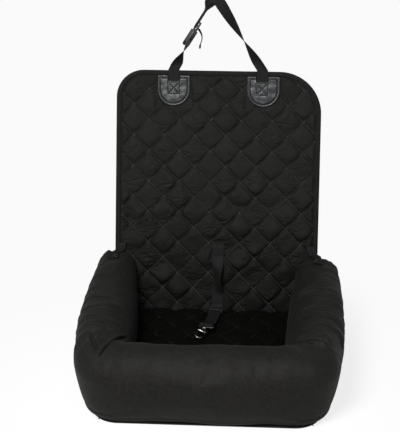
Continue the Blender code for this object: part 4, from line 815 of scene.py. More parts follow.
def bolsterRings(end):  # one half of the U, from its rear end to the middle of the front
    rearY = panel["seatLine"].y - panel["padFace"] / math.cos(lean)
    rearY += (bolster["widest"] - panel["seatLine"].z) * math.tan(lean)
    outer, inner = bolsterEdge("outer", rearY), bolsterEdge("inner", rearY)
    rings, runs = [], []
    run = 0.0
    for k, (out, inn) in enumerate(zip(outer, inner)):
        back = float(ease(1 - (rearY - out.y) / bolster["tiltLength"]))
        corner = abs(k - bolster["side"] - bolster["corner"] / 2) / (bolster["corner"] / 2)
        wide = float(ease(1 - (rearY - out.y) / bolster["outLength"]))
        top = bolster["height"] + end["rise"] * back - bolster["dip"] * float(ease(1 - corner))
        run += (out - outer[k - 1]).length if k else 0.0
        ring = []
        for j in range(bolster["around"]):
            angle = math.tau * (j + 0.5) / bolster["around"]
            c, s = math.cos(angle), math.sin(angle)
            power = bolster["topPower"] if s > 0 else bolster["footPower"]
            across = math.copysign(abs(c) ** (2 / power), c)
            up = math.copysign(abs(s) ** (2 / power), s)
            reach = top - bolster["widest"] if up > 0 else bolster["widest"] - bolster["foot"]
            z = bolster["widest"] + up * reach
            if across > 0 and up < 0:
                across *= 1 + bolster["taper"] * up
            place = (out + inn) / 2 + (out - inn) / 2 * across
            z -= end["slope"] * back * max(across, 0.0) * max(up, 0.0)
            tilt = (z - bolster["widest"]) * math.tan(lean) * back
            outward = end["out"] * wide * max(up, 0.0) * (0.5 + 0.5 * across)
            ring.append(Vector((place.x + outward, place.y + tilt, z)))
        rings.append(ring)
        runs.append(run)
    return rings, runs


def pointsOf(mesh):
    places = np.empty(len(mesh.vertices) * 3)
    mesh.vertices.foreach_get("co", places)
    normals = np.empty(len(mesh.vertices) * 3)
    mesh.vertex_normals.foreach_get("vector", normals)
    return places.reshape(-1, 3), normals.reshape(-1, 3)


def setPoints(mesh, places):
    mesh.vertices.foreach_set("co", places.ravel())
    mesh.update()


def alongLine(places, line):  # how far each point is from a broken line, and its share of the way along
    best = np.full(len(places), 1e9)
    share = np.zeros(len(places))
    for k, (a, b) in enumerate(zip(line, line[1:])):
        a, b = np.array(a), np.array(b)
        t = np.clip((places - a) @ (b - a) / ((b - a) @ (b - a)), 0, 1)
        away = np.linalg.norm(places - a - t[:, None] * (b - a), axis=1)
        closer = away < best
        best[closer] = away[closer]
        share[closer] = (k + t[closer]) / (len(line) - 1)
    return best, share


def settle(piece, held, slackening):  # the skin is blown up as cloth, with some of it longer than its place
    mesh = piece.data
    start, normals = pointsOf(mesh)
    setPoints(mesh, start - normals * (bolster["slack"] * (1 - held))[:, None])
    for name, weights in (("held", held), ("longer", slackening)):
        group = piece.vertex_groups.new(name=name)
        for k, weight in enumerate(weights):
            if weight > 0:
                group.add([k], float(weight), "REPLACE")
    step = piece.modifiers.new("cloth", "CLOTH")
    cloth = step.settings
    for name, value in bolster["cloth"].items():
        setattr(cloth, name, value)
    cloth.vertex_group_mass = "held"
    cloth.use_pressure = True
    cloth.uniform_pressure_force = bolster["pressure"]
    cloth.effector_weights.gravity = 0
    cloth.vertex_group_shrink = "longer"
    cloth.shrink_min = 0
    cloth.shrink_max = -bolster["growth"]
    step.collision_settings.use_collision = False
    step.point_cache.frame_start = 1
    step.point_cache.frame_end = bolster["frames"]
    for frameNumber in range(1, bolster["frames"] + 1):
        bpy.context.scene.frame_set(frameNumber)
    plainMesh(piece)
    bpy.context.scene.frame_set(1)
    settled, _ = pointsOf(piece.data)
    move = settled - start
    length = np.linalg.norm(move, axis=1)
    cap = bolster["travel"] * (1 - held)
    move *= (np.minimum(length, cap) / np.maximum(length, 1e-9))[:, None]
    print("bolster settled", [round(float(v) * 1000, 2) for v in np.percentile(length, (5, 50, 95, 100))])
    setPoints(piece.data, start + move)


def pleats(places):  # creases across the side bolsters, fanning round their front corners
    x, y, z = places.T
    side, ahead = np.abs(x), np.maximum(pleat["pivotY"] - y, 0)
    turn = np.arctan2(ahead, np.maximum(side - pleat["pivotX"], 0.004))
    phase = np.where(ahead > 0, pleat["pivotY"] - pleat["fan"] * turn, y)
    phase = phase - pleat["slant"] * (side - pleat["slantFrom"])
    size = pleat["spotSize"]
    spots = np.stack((phase / pleat["spotRun"] + np.sign(x) * 7, side / size, z / size), 1)
    warp = np.array([noise.noise(Vector(p)) for p in spots])
    strength = np.array([noise.noise(Vector(p) * 1.7 + Vector((3, 9, 4))) for p in spots])
    wave = np.abs(np.sin(np.pi * (phase / pleat["pitch"] + warp * pleat["warp"]))) ** pleat["power"]
    onSide = ease((side - pleat["side"]) / pleat["sideRun"]) * ease((z - pleat["low"]) / pleat["lowRun"])
    rearFade = blended(pleat["rearLeast"], 1.0, ease((pleat["rear"] - y) / pleat["rearRun"]))
    frontFade = 1 - ease((ahead - pleat["front"]) / pleat["frontRun"])
    uneven = np.clip(pleat["even"] + strength * pleat["uneven"], 0, pleat["most"])
    return (wave - pleat["level"]) * pleat["depth"] * onSide * rearFade * frontFade * uneven


def dimples(places):  # soft puckers drawn down from the front bolster's inner seam
    x, y, z = places.T
    spots = places / dimple["size"]
    soft = np.array([noise.noise(Vector(p) + Vector((0, 5, 2))) for p in spots])
    broad = np.array([noise.noise(Vector(p) * 0.4 + Vector((8, 1, 2))) for p in spots])
    middle = 1 - ease((np.abs(x) - dimple["side"]) / dimple["sideRun"])
    front = middle * ease((-y - dimple["front"]) / dimple["frontRun"])
    upper = ease((z - dimple["low"]) / dimple["lowRun"])
    return front * (soft * dimple["depth"] * upper + broad * dimple["hollow"])


cornerFolds = (  # the corners' folds, each with its width, its depth and the places that it passes
    (0.0027, 0.0150, (
        (-0.1645, -0.1197, 0.155), (-0.1806, -0.1229, 0.153), (-0.1967, -0.1429, 0.151),
        (-0.2066, -0.1623, 0.149), (-0.2133, -0.1812, 0.147),
    )),
    (0.0040, 0.0085, ((-0.2187, -0.1635, 0.147), (-0.2308, -0.1328, 0.150), (-0.2438, -0.0965, 0.155))),
    (0.0040, 0.0075, ((-0.2438, -0.0965, 0.155), (-0.2238, -0.0905, 0.157), (-0.1990, -0.0888, 0.158))),
    (0.0026, 0.0150, (
        (0.1890, -0.1190, 0.152), (0.2095, -0.1096, 0.152), (0.2262, -0.1066, 0.152),
        (0.2370, -0.1143, 0.152), (0.2446, -0.1282, 0.152),
    )),
    (0.0030, 0.0120, ((0.2322, -0.1088, 0.152), (0.2446, -0.1282, 0.152))),
    (0.0030, 0.0045, ((0.2266, -0.0651, 0.152), (0.2404, -0.0853, 0.152), (0.2518, -0.1137, 0.152))),
)


def cornerCreases(places, skin):
    sunk = np.zeros(len(places))
    for wide, deep, passes in cornerFolds:
        spots = smoothLine([(Vector(p),) for p in passes], 8)
        line = []
        for spot, in spots:  # each place is met on the skin along the camera's sight line
            sight = (spot - view["place"]).normalized()
            line.append(skin.ray_cast(view["place"], sight)[0] or skin.find_nearest(spot)[0])
        away, share = alongLine(places, line)
        fade = np.sqrt(np.clip(np.sin(np.pi * np.clip(share, 0.02, 0.98)), 0, 1))
        groove, banks = np.exp(-((away / wide) ** 2)), np.exp(-((away / (wide * bolster["bankWidth"])) ** 2))
        sunk += fade * deep * bolster["foldShare"] * (bolster["bankShare"] * banks - groove)
    return sunk


def makeBolster():
    around = bolster["around"]
    left, runs = bolsterRings(bolster["left"])
    left = [[Vector((-p.x, p.y, p.z)) for p in ring] for ring in left]
    rings, _ = bolsterRings(bolster["right"])
    full = left + rings[:-1][::-1]
    lengths = runs + [2 * runs[-1] - r for r in runs[:-1]][::-1]
    uvs = []
    for ring, run in zip(full, lengths):
        row, girth = [(0.0, run)], 0.0
        for j in range(around):
            girth += (ring[(j + 1) % around] - ring[j]).length
            row.append((girth, run))
        uvs.append(row)
    tube = loft("bolsterTube", full, uvs, boltCloth)
    places, _ = pointsOf(tube.data)
    x, y, z = places.T
    rearEnd = panel["seatLine"].y + (z - panel["seatLine"].z) * math.tan(lean) - skinHold["rearGap"]
    low = 1 - ease((z - skinHold["low"]) / skinHold["lowRun"])
    rear = ease((y - rearEnd + skinHold["rear"]) / skinHold["rearRun"])
    held = np.clip(np.maximum(low, rear), 0, 1)
    onSide = ease((np.abs(x) - skinHold["side"]) / skinHold["sideRun"])
    upper = ease((z - skinHold["height"]) / skinHold["heightRun"])
    settle(tube, held, onSide * (1 - held) * blended(skinHold["least"], 1.0, upper))
    refine(tube)
    places, normals = pointsOf(tube.data)
    skin = BVHTree.FromPolygons([Vector(p) for p in places], [tuple(f.vertices) for f in tube.data.polygons])
    change = pleats(places) + dimples(places) + cornerCreases(places, skin)
    places += normals * change[:, None]
    x, y, z = places.T  # the tops stay below the ties
    within = 1 - ease((np.abs(x) - underTie["side"]) / underTie["sideRun"])
    under = within * ease((y - underTie["rear"]) / underTie["rearRun"]) * (z > underTie["above"])
    z -= under * np.maximum(z - bolster["tieHeight"], 0)
    setPoints(tube.data, places)
    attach(tube, "bed")
    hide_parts("front_bolster", "left_bolster", "right_bolster")


web = {"half": 0.01275, "thick": 0.0015, "columns": 14, "edgePower": 0.8, "facePower": 0.22}


def webbing(name, line, frameMatrix=None):
    # line holds centres and half widths as vectors; the tape's edges are rounded
    rings, uvs, run = [], [], 0.0
    for k, (centre, side) in enumerate(line):
        heading = line[min(k + 1, len(line) - 1)][0] - line[max(k - 1, 0)][0]
        normal = side.cross(heading).normalized() * (web["thick"] / 2)
        run += (centre - line[k - 1][0]).length if k else 0.0
        ring, row = [], []
        for j in range(2 * web["columns"]):
            angle = math.tau * (j + 0.5) / (2 * web["columns"])
            c, s = math.cos(angle), math.sin(angle)
            across = math.copysign(abs(c) ** web["edgePower"], c)
            up = math.copysign(abs(s) ** web["facePower"], s)
            ring.append(centre + side * across + normal * up)
            row.append((across * side.length, run))
        rings.append(ring)
        uvs.append(row + row[:1])
    return loft(name, rings, uvs, webTape, frameMatrix)


def smoothLine(points, steps):  # a smooth curve through places and half widths
    padded = [points[0], *points, points[-1]]
    padded[0] = tuple(a * 2 - b for a, b in zip(points[0], points[1]))
    padded[-1] = tuple(a * 2 - b for a, b in zip(points[-1], points[-2]))
    line = [points[0]]
    for k in range(len(points) - 1):
        for j in range(1, steps + 1):
            t = j / steps
            place = []
            for a, b, c, d in zip(*padded[k:k + 4]):
                square, cube = a * 2 - b * 5 + c * 4 - d, b * 3 - a - c * 3 + d
                place.append((b * 2 + (c - a) * t + square * t**2 + cube * t**3) / 2)
            line.append(tuple(place))
    return line


tie = {  # from the panel's face round a bend and out over the bolster, drifting outwards
    "above": 0.007, "bend": 0.006, "sewn": (0.016, 0.008), "level": 0.036, "from": 0.217, "drift": 0.018,
    "half": 0.0105, "skew": 0.0025, "bendSteps": 8, "levelSteps": 5,
}


def makeTies():
    depth = panel["padFace"] + web["thick"] / 2
    level = bolster["height"] + tie["above"] + gap + web["thick"] / 2
    start = panel["seatLine"] + outOfPanel * depth
    turn = math.pi / 2 - lean
    corner = start + alongPanel * ((level - start.z) / alongPanel.z)
    setback = tie["bend"] * math.tan(turn / 2)
    centre = corner + alongPanel * setback + outOfPanel * tie["bend"]
    profile = [corner + alongPanel * (setback + rise) for rise in tie["sewn"]]
    for k in range(tie["bendSteps"] + 1):
        angle = turn * k / tie["bendSteps"]
        normal = outOfPanel * math.cos(angle) + alongPanel * math.sin(angle)
        profile.append(centre - normal * tie["bend"])
    last, straight = profile[-1], len(profile)
    count = tie["levelSteps"]
    profile += [last + Vector((0, -tie["level"] * k / count, 0)) for k in range(1, count + 1)]
    for side, sign in (("left", -1), ("right", 1)):
        line = []
        for k, p in enumerate(profile):
            drift = tie["from"] + tie["drift"] * k / (len(profile) - 1)
            skew = -tie["skew"] * sign if k >= straight else 0
            line.append((p + Vector((sign * drift, 0, 0)), Vector((tie["half"], skew, 0))))
        piece = webbing(f"{side}Tie", line)
        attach(piece, "bed")
        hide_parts(f"{side}_tie")


strap = {  # x across the panel, the other lengths up from the hinge or along the buckle
    "hinge": (0.548, 0.0021), "leftFoot": -0.1023, "rightFoot": 0.0980, "sewnFrom": 0.487, "buckleX": -0.0766,
    "buckleUp": 0.0565, "tilt": math.radians(32.0), "turn": math.radians(74.0), "apex": (-0.0090, 0.1630),
    "apexBend": 0.0024, "apexTurn": math.radians(172.0), "leftTwistStart": 0.14, "leftTwistPower": 1.5,
    "rightTwistPower": 1.43, "foldFrom": 0.75, "barRadius": 0.0019, "plugStart": 0.0378, "plugLength": 0.0215,
    "plugThick": 0.0042, "plugBar": 0.003, "travel": 0.024,
    "tail": ((-0.0478, 0.0905), (-0.0414, 0.0791), (-0.0403, 0.0691), (-0.0430, 0.0580), (-0.0437, 0.0485)),
    "tailTurns": (77, 82, 84, 84, 84), "tailBack": -0.003, "hem": 0.0075, "hemBend": 0.0009,
    "steps": {"sewn": 8, "left": 36, "bar": 16, "right": 64, "fold": 12, "strand": 36, "plug": 8, "tail": 6},
}
strapFrame = panelFrame @ Matrix.Translation((0, strap["hinge"][0], strap["hinge"][1]))


def acrossTape(along, angle):
    return Vector((along.y, -along.x, 0)) * math.cos(angle) + Vector((0, 0, 1)) * math.sin(angle)


def makeStrap():
    half, middle = web["half"], web["thick"] / 2
    place = Vector((strap["buckleX"], strap["buckleUp"], middle))
    turn = Matrix.Rotation(-strap["tilt"], 3, "Z") @ Matrix.Rotation(-strap["turn"], 3, "Y")
    along, across = turn @ Vector((0, 1, 0)), turn @ Vector((1, 0, 0))
    upright, steps = Vector((0, 1, 0)), strap["steps"]

    def sewnEnd(foot):  # the stretch that lies on the panel, up to the hinge
        sewn, count = strap["sewnFrom"] - strap["hinge"][0], steps["sewn"]
        return [(foot + upright * (sewn * (1 - k / count)), Vector((half, 0, 0))) for k in range(count)]

    wrap = strap["barRadius"] * math.sqrt(2) + gap + middle
    runOut = strap["barRadius"] + web["thick"]
    below = place + turn @ Vector((0, -runOut, -wrap))
    foot = Vector((strap["leftFoot"], 0, middle))
    line = sewnEnd(foot)
    for k in range(steps["left"] + 1):
        share = k / steps["left"]
        up = blended(upright, along, float(ease(share))).normalized()
        late = max(share - strap["leftTwistStart"], 0) / (1 - strap["leftTwistStart"])
        twist = (strap["turn"] - math.pi) * (1 - (1 - late) ** strap["leftTwistPower"])
        line.append((blended(foot, below, share), acrossTape(up, twist) * half))
    for k in range(steps["bar"] + 1):
        angle = math.pi * k / steps["bar"]
        outward = turn @ Vector((0, math.sin(angle), -math.cos(angle)))
        line.append((place + outward * wrap, -across * half))
    line.append((place + turn @ Vector((0, -runOut, wrap)), -across * half))
    leftPiece = webbing("leftStrap", line, strapFrame)

    apex = Vector((*strap["apex"], middle))
    foot = Vector((strap["rightFoot"], 0, middle))
    face = strap["plugThick"] / 2 + gap + middle
    slot = (strap["plugLength"] - 3 * strap["plugBar"]) / 2
    innerSlot = strap["plugBar"] + slot / 2
    strandEnd = place + turn @ Vector((0, strap["plugStart"] + innerSlot - middle, face))
    strandBend = strandEnd + along * (strap["plugLength"] - innerSlot + strap["travel"] + strap["plugBar"])
    rise = (apex - foot).normalized()
    slant = math.atan2(abs(rise.x), rise.y)
    foldAcross = acrossTape(upright, strap["apexTurn"])
    foldHalf = foldAcross * half / math.cos(slant)
    line = sewnEnd(foot)
    for k in range(steps["right"] + 1):
        share = k / steps["right"]
        up = blended(upright, rise, float(ease(share * 3))).normalized()
        twist = strap["apexTurn"] * (1 - (1 - share) ** strap["rightTwistPower"])
        nearApex = float(ease((share - strap["foldFrom"]) / (1 - strap["foldFrom"])))
        line.append((blended(foot, apex, share), blended(acrossTape(up, twist) * half, foldHalf, nearApex)))
    inward = foldAcross.cross(upright)
    for k in range(1, steps["fold"] + 1):
        angle = math.pi * k / steps["fold"]
        radial = upright * math.sin(angle) - inward * math.cos(angle)
        drift = foldAcross * (strap["apexBend"] * angle * math.tan(slant))
        line.append((apex + (inward + radial) * strap["apexBend"] + drift, foldHalf))
    over = line[-1][0]
    for k in range(1, steps["strand"] + 1):
        share = k / steps["strand"]
        eased = float(ease(share))
        angle = blended(strap["apexTurn"], strap["turn"] + math.pi, eased)
        way = acrossTape(blended(upright, along, eased).normalized(), angle)
        line.append((blended(over, strandBend, share), way * blended(foldHalf.length, half, eased)))
    count = steps["plug"]
    line += [(blended(strandBend, strandEnd, k / count), -across * half) for k in range(1, count + 1)]
    rightPiece = webbing("rightStrap", line, strapFrame)
    for side, piece in (("left", leftPiece), ("right", rightPiece)):
        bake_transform(piece)
        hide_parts(f"{side}_strap", f"{side}_strap_anchor")

    plugFrame = strapFrame @ Matrix.Translation(place) @ turn.to_4x4()
    plugFrame = plugFrame @ Matrix.Translation((0, strap["plugStart"], 0))
    sideways, depth = Vector((half, 0, 0)), strap["plugThick"] / 2
    route = [(Vector((0, innerSlot, side * depth)), sideways) for side in (1, -1)]
    toPlug = plugFrame.inverted() @ strapFrame
    for (x, up), angle in zip(strap["tail"], strap["tailTurns"]):  # it curls away and hangs down
        way = toPlug.to_3x3() @ acrossTape(upright, math.radians(angle))
        route.append((toPlug @ Vector((x, up, strap["tailBack"])), way * half))
    line = smoothLine(route, steps["tail"])
    end, way = line[-1]
    bend, heading = strap["hemBend"], end - line[-2][0]
    down, out = heading.normalized(), heading.cross(way).normalized() * bend
    line += [(end + out + down * bend, way), (end + out * 2, way), (end + out * 2 - down * strap["hem"], way)]
    tail = webbing("strapTail", line, plugFrame)
    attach(tail, "plug")
    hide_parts("strap_tail")


tether = {
    "x": 0.005, "sewnTop": 0.155, "sewn": 0.030, "sewnFace": 0.0013, "margin": 0.010, "bend": 0.010,
    "drift": math.radians(10.0), "rise": 0.0062, "riseLength": 0.024, "level": 0.05515, "levelLength": 0.064,
    "eyeBar": 0.0019, "loop": 0.015, "slack": 0.0006, "foot": 0.12, "twist": math.radians(58.0),
    "twistEnd": 0.8, "twistPower": 1.5, "twistOut": 0.9,
    "steps": {"twist": 26, "bend": 12, "level": 10, "loop": 16},
}


def tetherMiddle(y):  # where the tether lies across the seat
    return tether["x"] - np.maximum(0.19 - y, 0) * math.tan(tether["drift"])


def makeTether():
    half, thick, steps = web["half"], web["thick"], tether["steps"]
    low = tether["sewnTop"] - tether["sewn"]
    start = panel["seatLine"] + Vector((tether["x"], 0, 0))
    back = tether["sewnFace"]
    hang = panel["padFace"] + thick / 2
    sideways = Vector((half, 0, 0))
    topS, footS = low - tether["margin"], low * tether["foot"]
    sewn = (tether["sewnTop"], blended(tether["sewnTop"], low, 0.5), low, low - thick)
    line = [(start + alongPanel * s + outOfPanel * (back + thick / 2), sideways) for s in sewn]
    line.append((start + alongPanel * topS + outOfPanel * (hang - back), sideways))
    for k in range(1, steps["twist"] + 1):  # the hanging stretch turns half aside and back
        share = k / steps["twist"]
        turned = math.sin(math.pi * min(share / tether["twistEnd"], 1.0))
        angle = tether["twist"] * turned ** tether["twistPower"]
        out = hang - back + back * share + half * abs(math.sin(angle)) * tether["twistOut"]
        across = (sideways * math.cos(angle)) + outOfPanel * (half * math.sin(angle))
        line.append((start + alongPanel * blended(topS, footS, share) + outOfPanel * out, across))
    foot = start + outOfPanel * hang
    corner = foot + alongPanel * ((tether["level"] - foot.z) / alongPanel.z)
    turn = math.pi / 2 - lean
    setback = tether["bend"] * math.tan(turn / 2)
    centre = corner + alongPanel * setback + outOfPanel * tether["bend"]
    forward = Vector((-math.sin(tether["drift"]), -math.cos(tether["drift"]), 0))
    levelAcross = Vector((math.cos(tether["drift"]), -math.sin(tether["drift"]), 0)) * half
    for k in range(steps["bend"] + 1):
        share = k / steps["bend"]
        normal = outOfPanel * math.cos(turn * share) + alongPanel * math.sin(turn * share)
        line.append((centre - normal * tether["bend"], blended(sideways, levelAcross, share)))
    slideStart = line[-1][0]
    levelEnd = slideStart + forward * tether["levelLength"]
    count = steps["level"]
    line += [(blended(slideStart, levelEnd, k / count), levelAcross) for k in range(1, count + 1)]
    up = Vector((0, 0, 1))
    barBelow = levelEnd + forward * tether["riseLength"] + up * tether["rise"]
    line += [(blended(levelEnd, barBelow, 0.4 * k), levelAcross) for k in (1, 2)]
    loopRise = tether["eyeBar"] + tether["slack"] + thick / 2
    straight = tether["loop"] / 2 - loopRise
    loopCentre = barBelow + forward * tether["loop"] / 2 + up * loopRise
    for k in range(steps["loop"] + 1):
        angle = math.pi * k / steps["loop"]
        outward = forward * math.sin(angle) - up * math.cos(angle)
        line.append((loopCentre + forward * straight + outward * loopRise, levelAcross))
    line.append((loopCentre - forward * straight + up * loopRise, levelAcross))
    piece = webbing("tetherStrap", line)
    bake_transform(piece)
    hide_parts("tether_strap", "tether_anchor")


patch = {  # web: half the notch for the strap; box: half the sewn square with its cross
    "width": 0.0745, "height": 0.070, "top": 0.535, "back": 0.0013, "rim": 0.0062, "notch": 0.0130,
    "web": 0.0131, "box": 0.0133, "boxDown": 0.0165, "pitch": 0.0009, "edge": 0.0022, "rolled": 0.0034,
    "roll": 0.0019, "groove": 0.0020, "puff": 0.0013, "sunk": 0.0014, "grain": 0.0009, "overWeb": 0.0135,
    "face": 0.0038, "highest": 0.0056, "overStrap": 0.0041, "rightX": 0.1010,
}
patchPlaces = (
    ("left", strap["leftFoot"], strap["leftFoot"]),
    ("right", patch["rightX"], strap["rightFoot"]),
)
boxS = patch["top"] - patch["notch"] - patch["boxDown"]  # how far up the panel the sewn square's middle is


def patchOutline(centreX, webX):
    radius = patch["width"] / 2
    low = patch["top"] - patch["height"] + radius
    top = patch["top"]
    bottom = top - patch["notch"]
    left, right = webX - patch["web"], webX + patch["web"]
    places = [
        (centreX + radius, low), (centreX + radius, top), (right, top), (right, bottom), (left, bottom),
        (left, top), (centreX - radius, top),
    ]
    for k in range(41):
        angle = math.pi * (1 + k / 40)
        places.append((centreX + radius * math.cos(angle), low + radius * math.sin(angle)))
    return places[:-1]


def makePatches():
    for side, centreX, webX in patchPlaces:
        outline = patchOutline(centreX, webX)
        whole = []
        for x, s in outline:  # the outline without its notch
            beside = abs(x - webX) > patch["web"] + 1e-4
            if beside or s > patch["top"] - 1e-6 or s < boxS:
                whole.append((x, s))
        whole = np.array(whole)

        def leatherFace(x, s, edge, webX=webX, whole=whole):
            _, rimEdge = nearestOn(whole, np.stack((x, s), 1))
            rim = np.sqrt(np.clip(1 - (rimEdge / (patch["rim"] / 2) - 1) ** 2, 0, 1))
            rolled = patch["rolled"] + patch["roll"] * rim
            inside = ease((rimEdge - patch["rim"]) / 0.0035)
            over = 1 - ease((np.abs(x - webX) - 0.012) / 0.004)
            grain = ripples(x, s, 1.2, 0.012, 2.1) * patch["grain"]
            body = patch["face"] + 0.0006 * inside + 0.0006 * over + grain
            groove = np.exp(-(((rimEdge - patch["rim"] - 0.0002) / 0.0010) ** 2)) * patch["groove"]
            height = np.where(rimEdge < patch["rim"] - 0.0004, rolled, body - groove)
            bx, bs = (x - webX) / patch["box"], (s - boxS) / patch["box"]
            square = np.maximum(np.abs(bx), np.abs(bs))
            lines = np.exp(-(((square - 1) * patch["box"] / 0.0009) ** 2))
            inBox = 1 - ease((square - 0.96) / 0.06)
            cross = np.minimum(np.abs(bx - bs), np.abs(bx + bs)) * patch["box"] / math.sqrt(2)
            cut = np.exp(-((cross / 0.0010) ** 2)) * inBox
            puff = inBox * patch["puff"] * ease(cross / 0.0034) * ease((1 - square) * 5)
            height += puff - patch["sunk"] * np.maximum(lines, cut)
            covered = (s > boxS - 0.0175) & (np.abs(x - webX) < patch["overWeb"]) & (edge > 1e-6)
            height = np.where(covered, np.maximum(height, patch["overStrap"]), height)
            return np.where(edge < 1e-6, patch["edge"], np.minimum(height, patch["highest"]))

        name, pitch, back = f"{side}Patch", patch["pitch"], patch["back"]
        piece = cutSheet(name, outline, pitch, (webX, boxS), leatherFace, back, leather, panelFrame)
        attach(piece, "back_panel")
        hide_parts(f"{side}_patch")


underside = {  # dots: where their rows begin and end, and how far apart they are
    "half": 0.235, "front": -0.200, "rear": 0.2135, "radius": 0.055, "pitch": 0.006, "top": 0.0021,
    "bottom": 0.0004, "dotsAcross": (-0.219, 0.22), "dotsAlong": (-0.186, 0.204), "dotPitch": 0.013,
}


def sheetFace(x, y, edge):
    return underside["top"] + ripples(x, y, 1.0, 0.03, 5.5) * 0.0002


def makeUnderside():
    outline = roundedOutline(*(underside[name] for name in ("half", "front", "rear", "radius")))
    pitch, bottom = underside["pitch"], underside["bottom"]
    sheet = cutSheet("gripSheet", outline, pitch, (0, 0), sheetFace, bottom, gripCloth)
    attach(sheet, "bed")
    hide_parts("bottom_cover")


def stitchTree():  # beads laid along lines at an even pitch, each turned along its line
    tree = bpy.data.node_groups.new("stitches", "GeometryNodeTree")
    tree.interface.new_socket("Geometry", in_out="OUTPUT", socket_type="NodeSocketGeometry")
    tree.interface.new_socket("Lines", in_out="INPUT", socket_type="NodeSocketGeometry")
    for name in ("Pitch", "Length", "Width", "Height"):
        tree.interface.new_socket(name, in_out="INPUT", socket_type="NodeSocketFloat")
    tree.interface.new_socket("Seed", in_out="INPUT", socket_type="NodeSocketInt")
    tree.interface.new_socket("Material", in_out="INPUT", socket_type="NodeSocketMaterial")
    graph = Graph(tree)
    given = graph.node("NodeGroupInput")
    curve = graph.node("GeometryNodeMeshToCurve", None, {"Mesh": given})
    sockets = {"Curve": curve, "Length": given.out("Pitch")}
    even = graph.node("GeometryNodeResampleCurve", {"mode": "LENGTH"}, sockets)
    sockets = {"Vector": graph.node("GeometryNodeInputTangent")}
    turn = graph.node("FunctionNodeAlignRotationToVector", {"axis": "X"}, sockets)
    bead = graph.node("GeometryNodeMeshIcoSphere", None, {"Radius": 0.5, "Subdivisions": 1})
    sockets = {"Min": 0.88, "Max": 1.06, "Seed": given.out("Seed")}
    uneven = graph.node("FunctionNodeRandomValue", {"data_type": "FLOAT"}, sockets, 1)
    sockets = {0: given.out("Length") * uneven, 1: given.out("Width"), 2: given.out("Height")}
    size = graph.node("ShaderNodeCombineXYZ", None, sockets)
    sockets = {"Points": even, "Instance": bead, "Rotation": turn, "Scale": size}
    laid = graph.node("GeometryNodeInstanceOnPoints", None, sockets)
    real = graph.node("GeometryNodeRealizeInstances", None, {"Geometry": laid})
    sockets = {"Geometry": real, "Material": given.out("Material")}
    graph.node("NodeGroupOutput", None, {0: graph.node("GeometryNodeSetMaterial", None, sockets)})
    return tree


stitch = {"Pitch": 0.0038, "Length": 0.0031, "Width": 0.0009, "Height": 0.0007, "Seed": 4, "Material": thread}


def beads(name, lines, frameMatrix=None, **sizes):  # stitches or dots along the given lines
    mesh = bpy.data.meshes.new(name)
    places, edges = [], []
    for line in lines:
        edges += [(len(places) + k, len(places) + k + 1) for k in range(len(line) - 1)]
        places += [tuple(p) for p in line]
    mesh.from_pydata(places, edges, [])
    if frameMatrix is not None:
        mesh.transform(frameMatrix)
    piece = bpy.data.objects.new(name, mesh)
    bpy.context.scene.collection.objects.link(piece)
    step = piece.modifiers.new("stitches", "NODES")
    step.node_group = stitching
    values = {**stitch, **sizes}
    for item in stitching.interface.items_tree:
        if item.in_out == "INPUT" and item.name in values:
            step[item.identifier] = values[item.name]
    plainMesh(piece)
    piece.data.shade_smooth()
    return piece


seams = {  # how high the beads lie, how far in from an edge, and how near to what lies on the quilting
    "step": 0.002, "panelRise": 0.0006, "seatRise": 0.0014, "seatInset": 0.012, "seatRear": 0.004,
    "clear": 0.003, "tetherHalf": 0.024, "tetherReach": 0.009, "tetherStep": 0.016, "tapeInset": 0.0088,
    "tapeHeight": 0.0019, "tapeStep": 0.004, "patchRows": ((0.0028, 0.0056), (0.0064, 0.0042)),
    "boxHeight": 0.0047,
}


def seamLines(outline, centreY, inset, height, keepOut):  # the quilting's seams in an outline
    outline = np.array(outline, float)
    low, high = outline.min(0), outline.max(0)
    lines = []
    for sign in (1, -1):
        middle = centreY - sign * quilt["centreX"]
        for k in range(-30, 31):
            x = np.arange(low[0], high[0], seams["step"])
            y = sign * x + middle + k * quilt["pitch"]
            points = np.stack((x, y), 1)
            _, edge = nearestOn(outline, points)
            good = insideOutline(points, outline) & (edge > inset)
            for centreX, half, foot, top in keepOut:
                good &= ~((np.abs(x - centreX) < half) & (y > foot) & (y < top))
            level = height(x, y, edge)
            run = []
            for place, z, kept in zip(points, level, good):
                if kept:
                    run.append((*place, z))
                elif run:
                    lines.append(run)
                    run = []
            lines.append(run)
    return [line for line in lines if len(line) > 3]


def panelSeam(x, s, edge):
    return np.full(len(x), quilt["lift"] + seams["panelRise"])


def seatSeam(x, y, edge):
    middle, raised = seatSwell(x, y)
    return middle + raised + seams["seatRise"]


def stitchPanel():
    outline = panelOutline(panel["inset"], panelFoot(panel["padBack"]))
    hidden = [(x, half - seams["clear"], low, high) for x, half, low, high, _ in panelCovers[:3]]
    lines = seamLines(outline, quilt["centreS"], panel["binding"], panelSeam, hidden)
    piece = beads("panelSeams", lines, panelFrame)
    bendWithPanel(piece)


def stitchSeat():
    outline = cushionOutline(seams["seatInset"], seams["seatRear"])
    reach = seams["tetherReach"]
    hidden = []
    for y in np.arange(-0.06, 0.23, seams["tetherStep"]):  # no beads where the tether lies
        hidden.append((tetherMiddle(y), seams["tetherHalf"], y - reach, y + reach))
    lines = seamLines(outline, quilt["seatY"], 0.004, seatSeam, hidden)
    # painted shade: the seat's beads take the dark thread, to stay as dark as the shaded seat
    piece = beads("seatSeams", lines, Material=darkThread)
    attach(piece, "bed")


def stitchBinding():
    half, inset = panel["width"] / 2, seams["tapeInset"]
    corner = [tuple(p) for p, _ in panelEdge(inset)]
    rows = np.arange(panelFoot(0) + 0.004, panel["top"] - 0.10, seams["tapeStep"])
    path = [(inset - half, s) for s in rows] + corner + [(half - inset, s) for s in rows[::-1]]
    line = [(x, s, seams["tapeHeight"]) for x, s in path]
    piece = beads("bindingStitches", [line], panelFrame, Width=0.0005, Height=0.0004, Material=darkThread)
    bendWithPanel(piece)


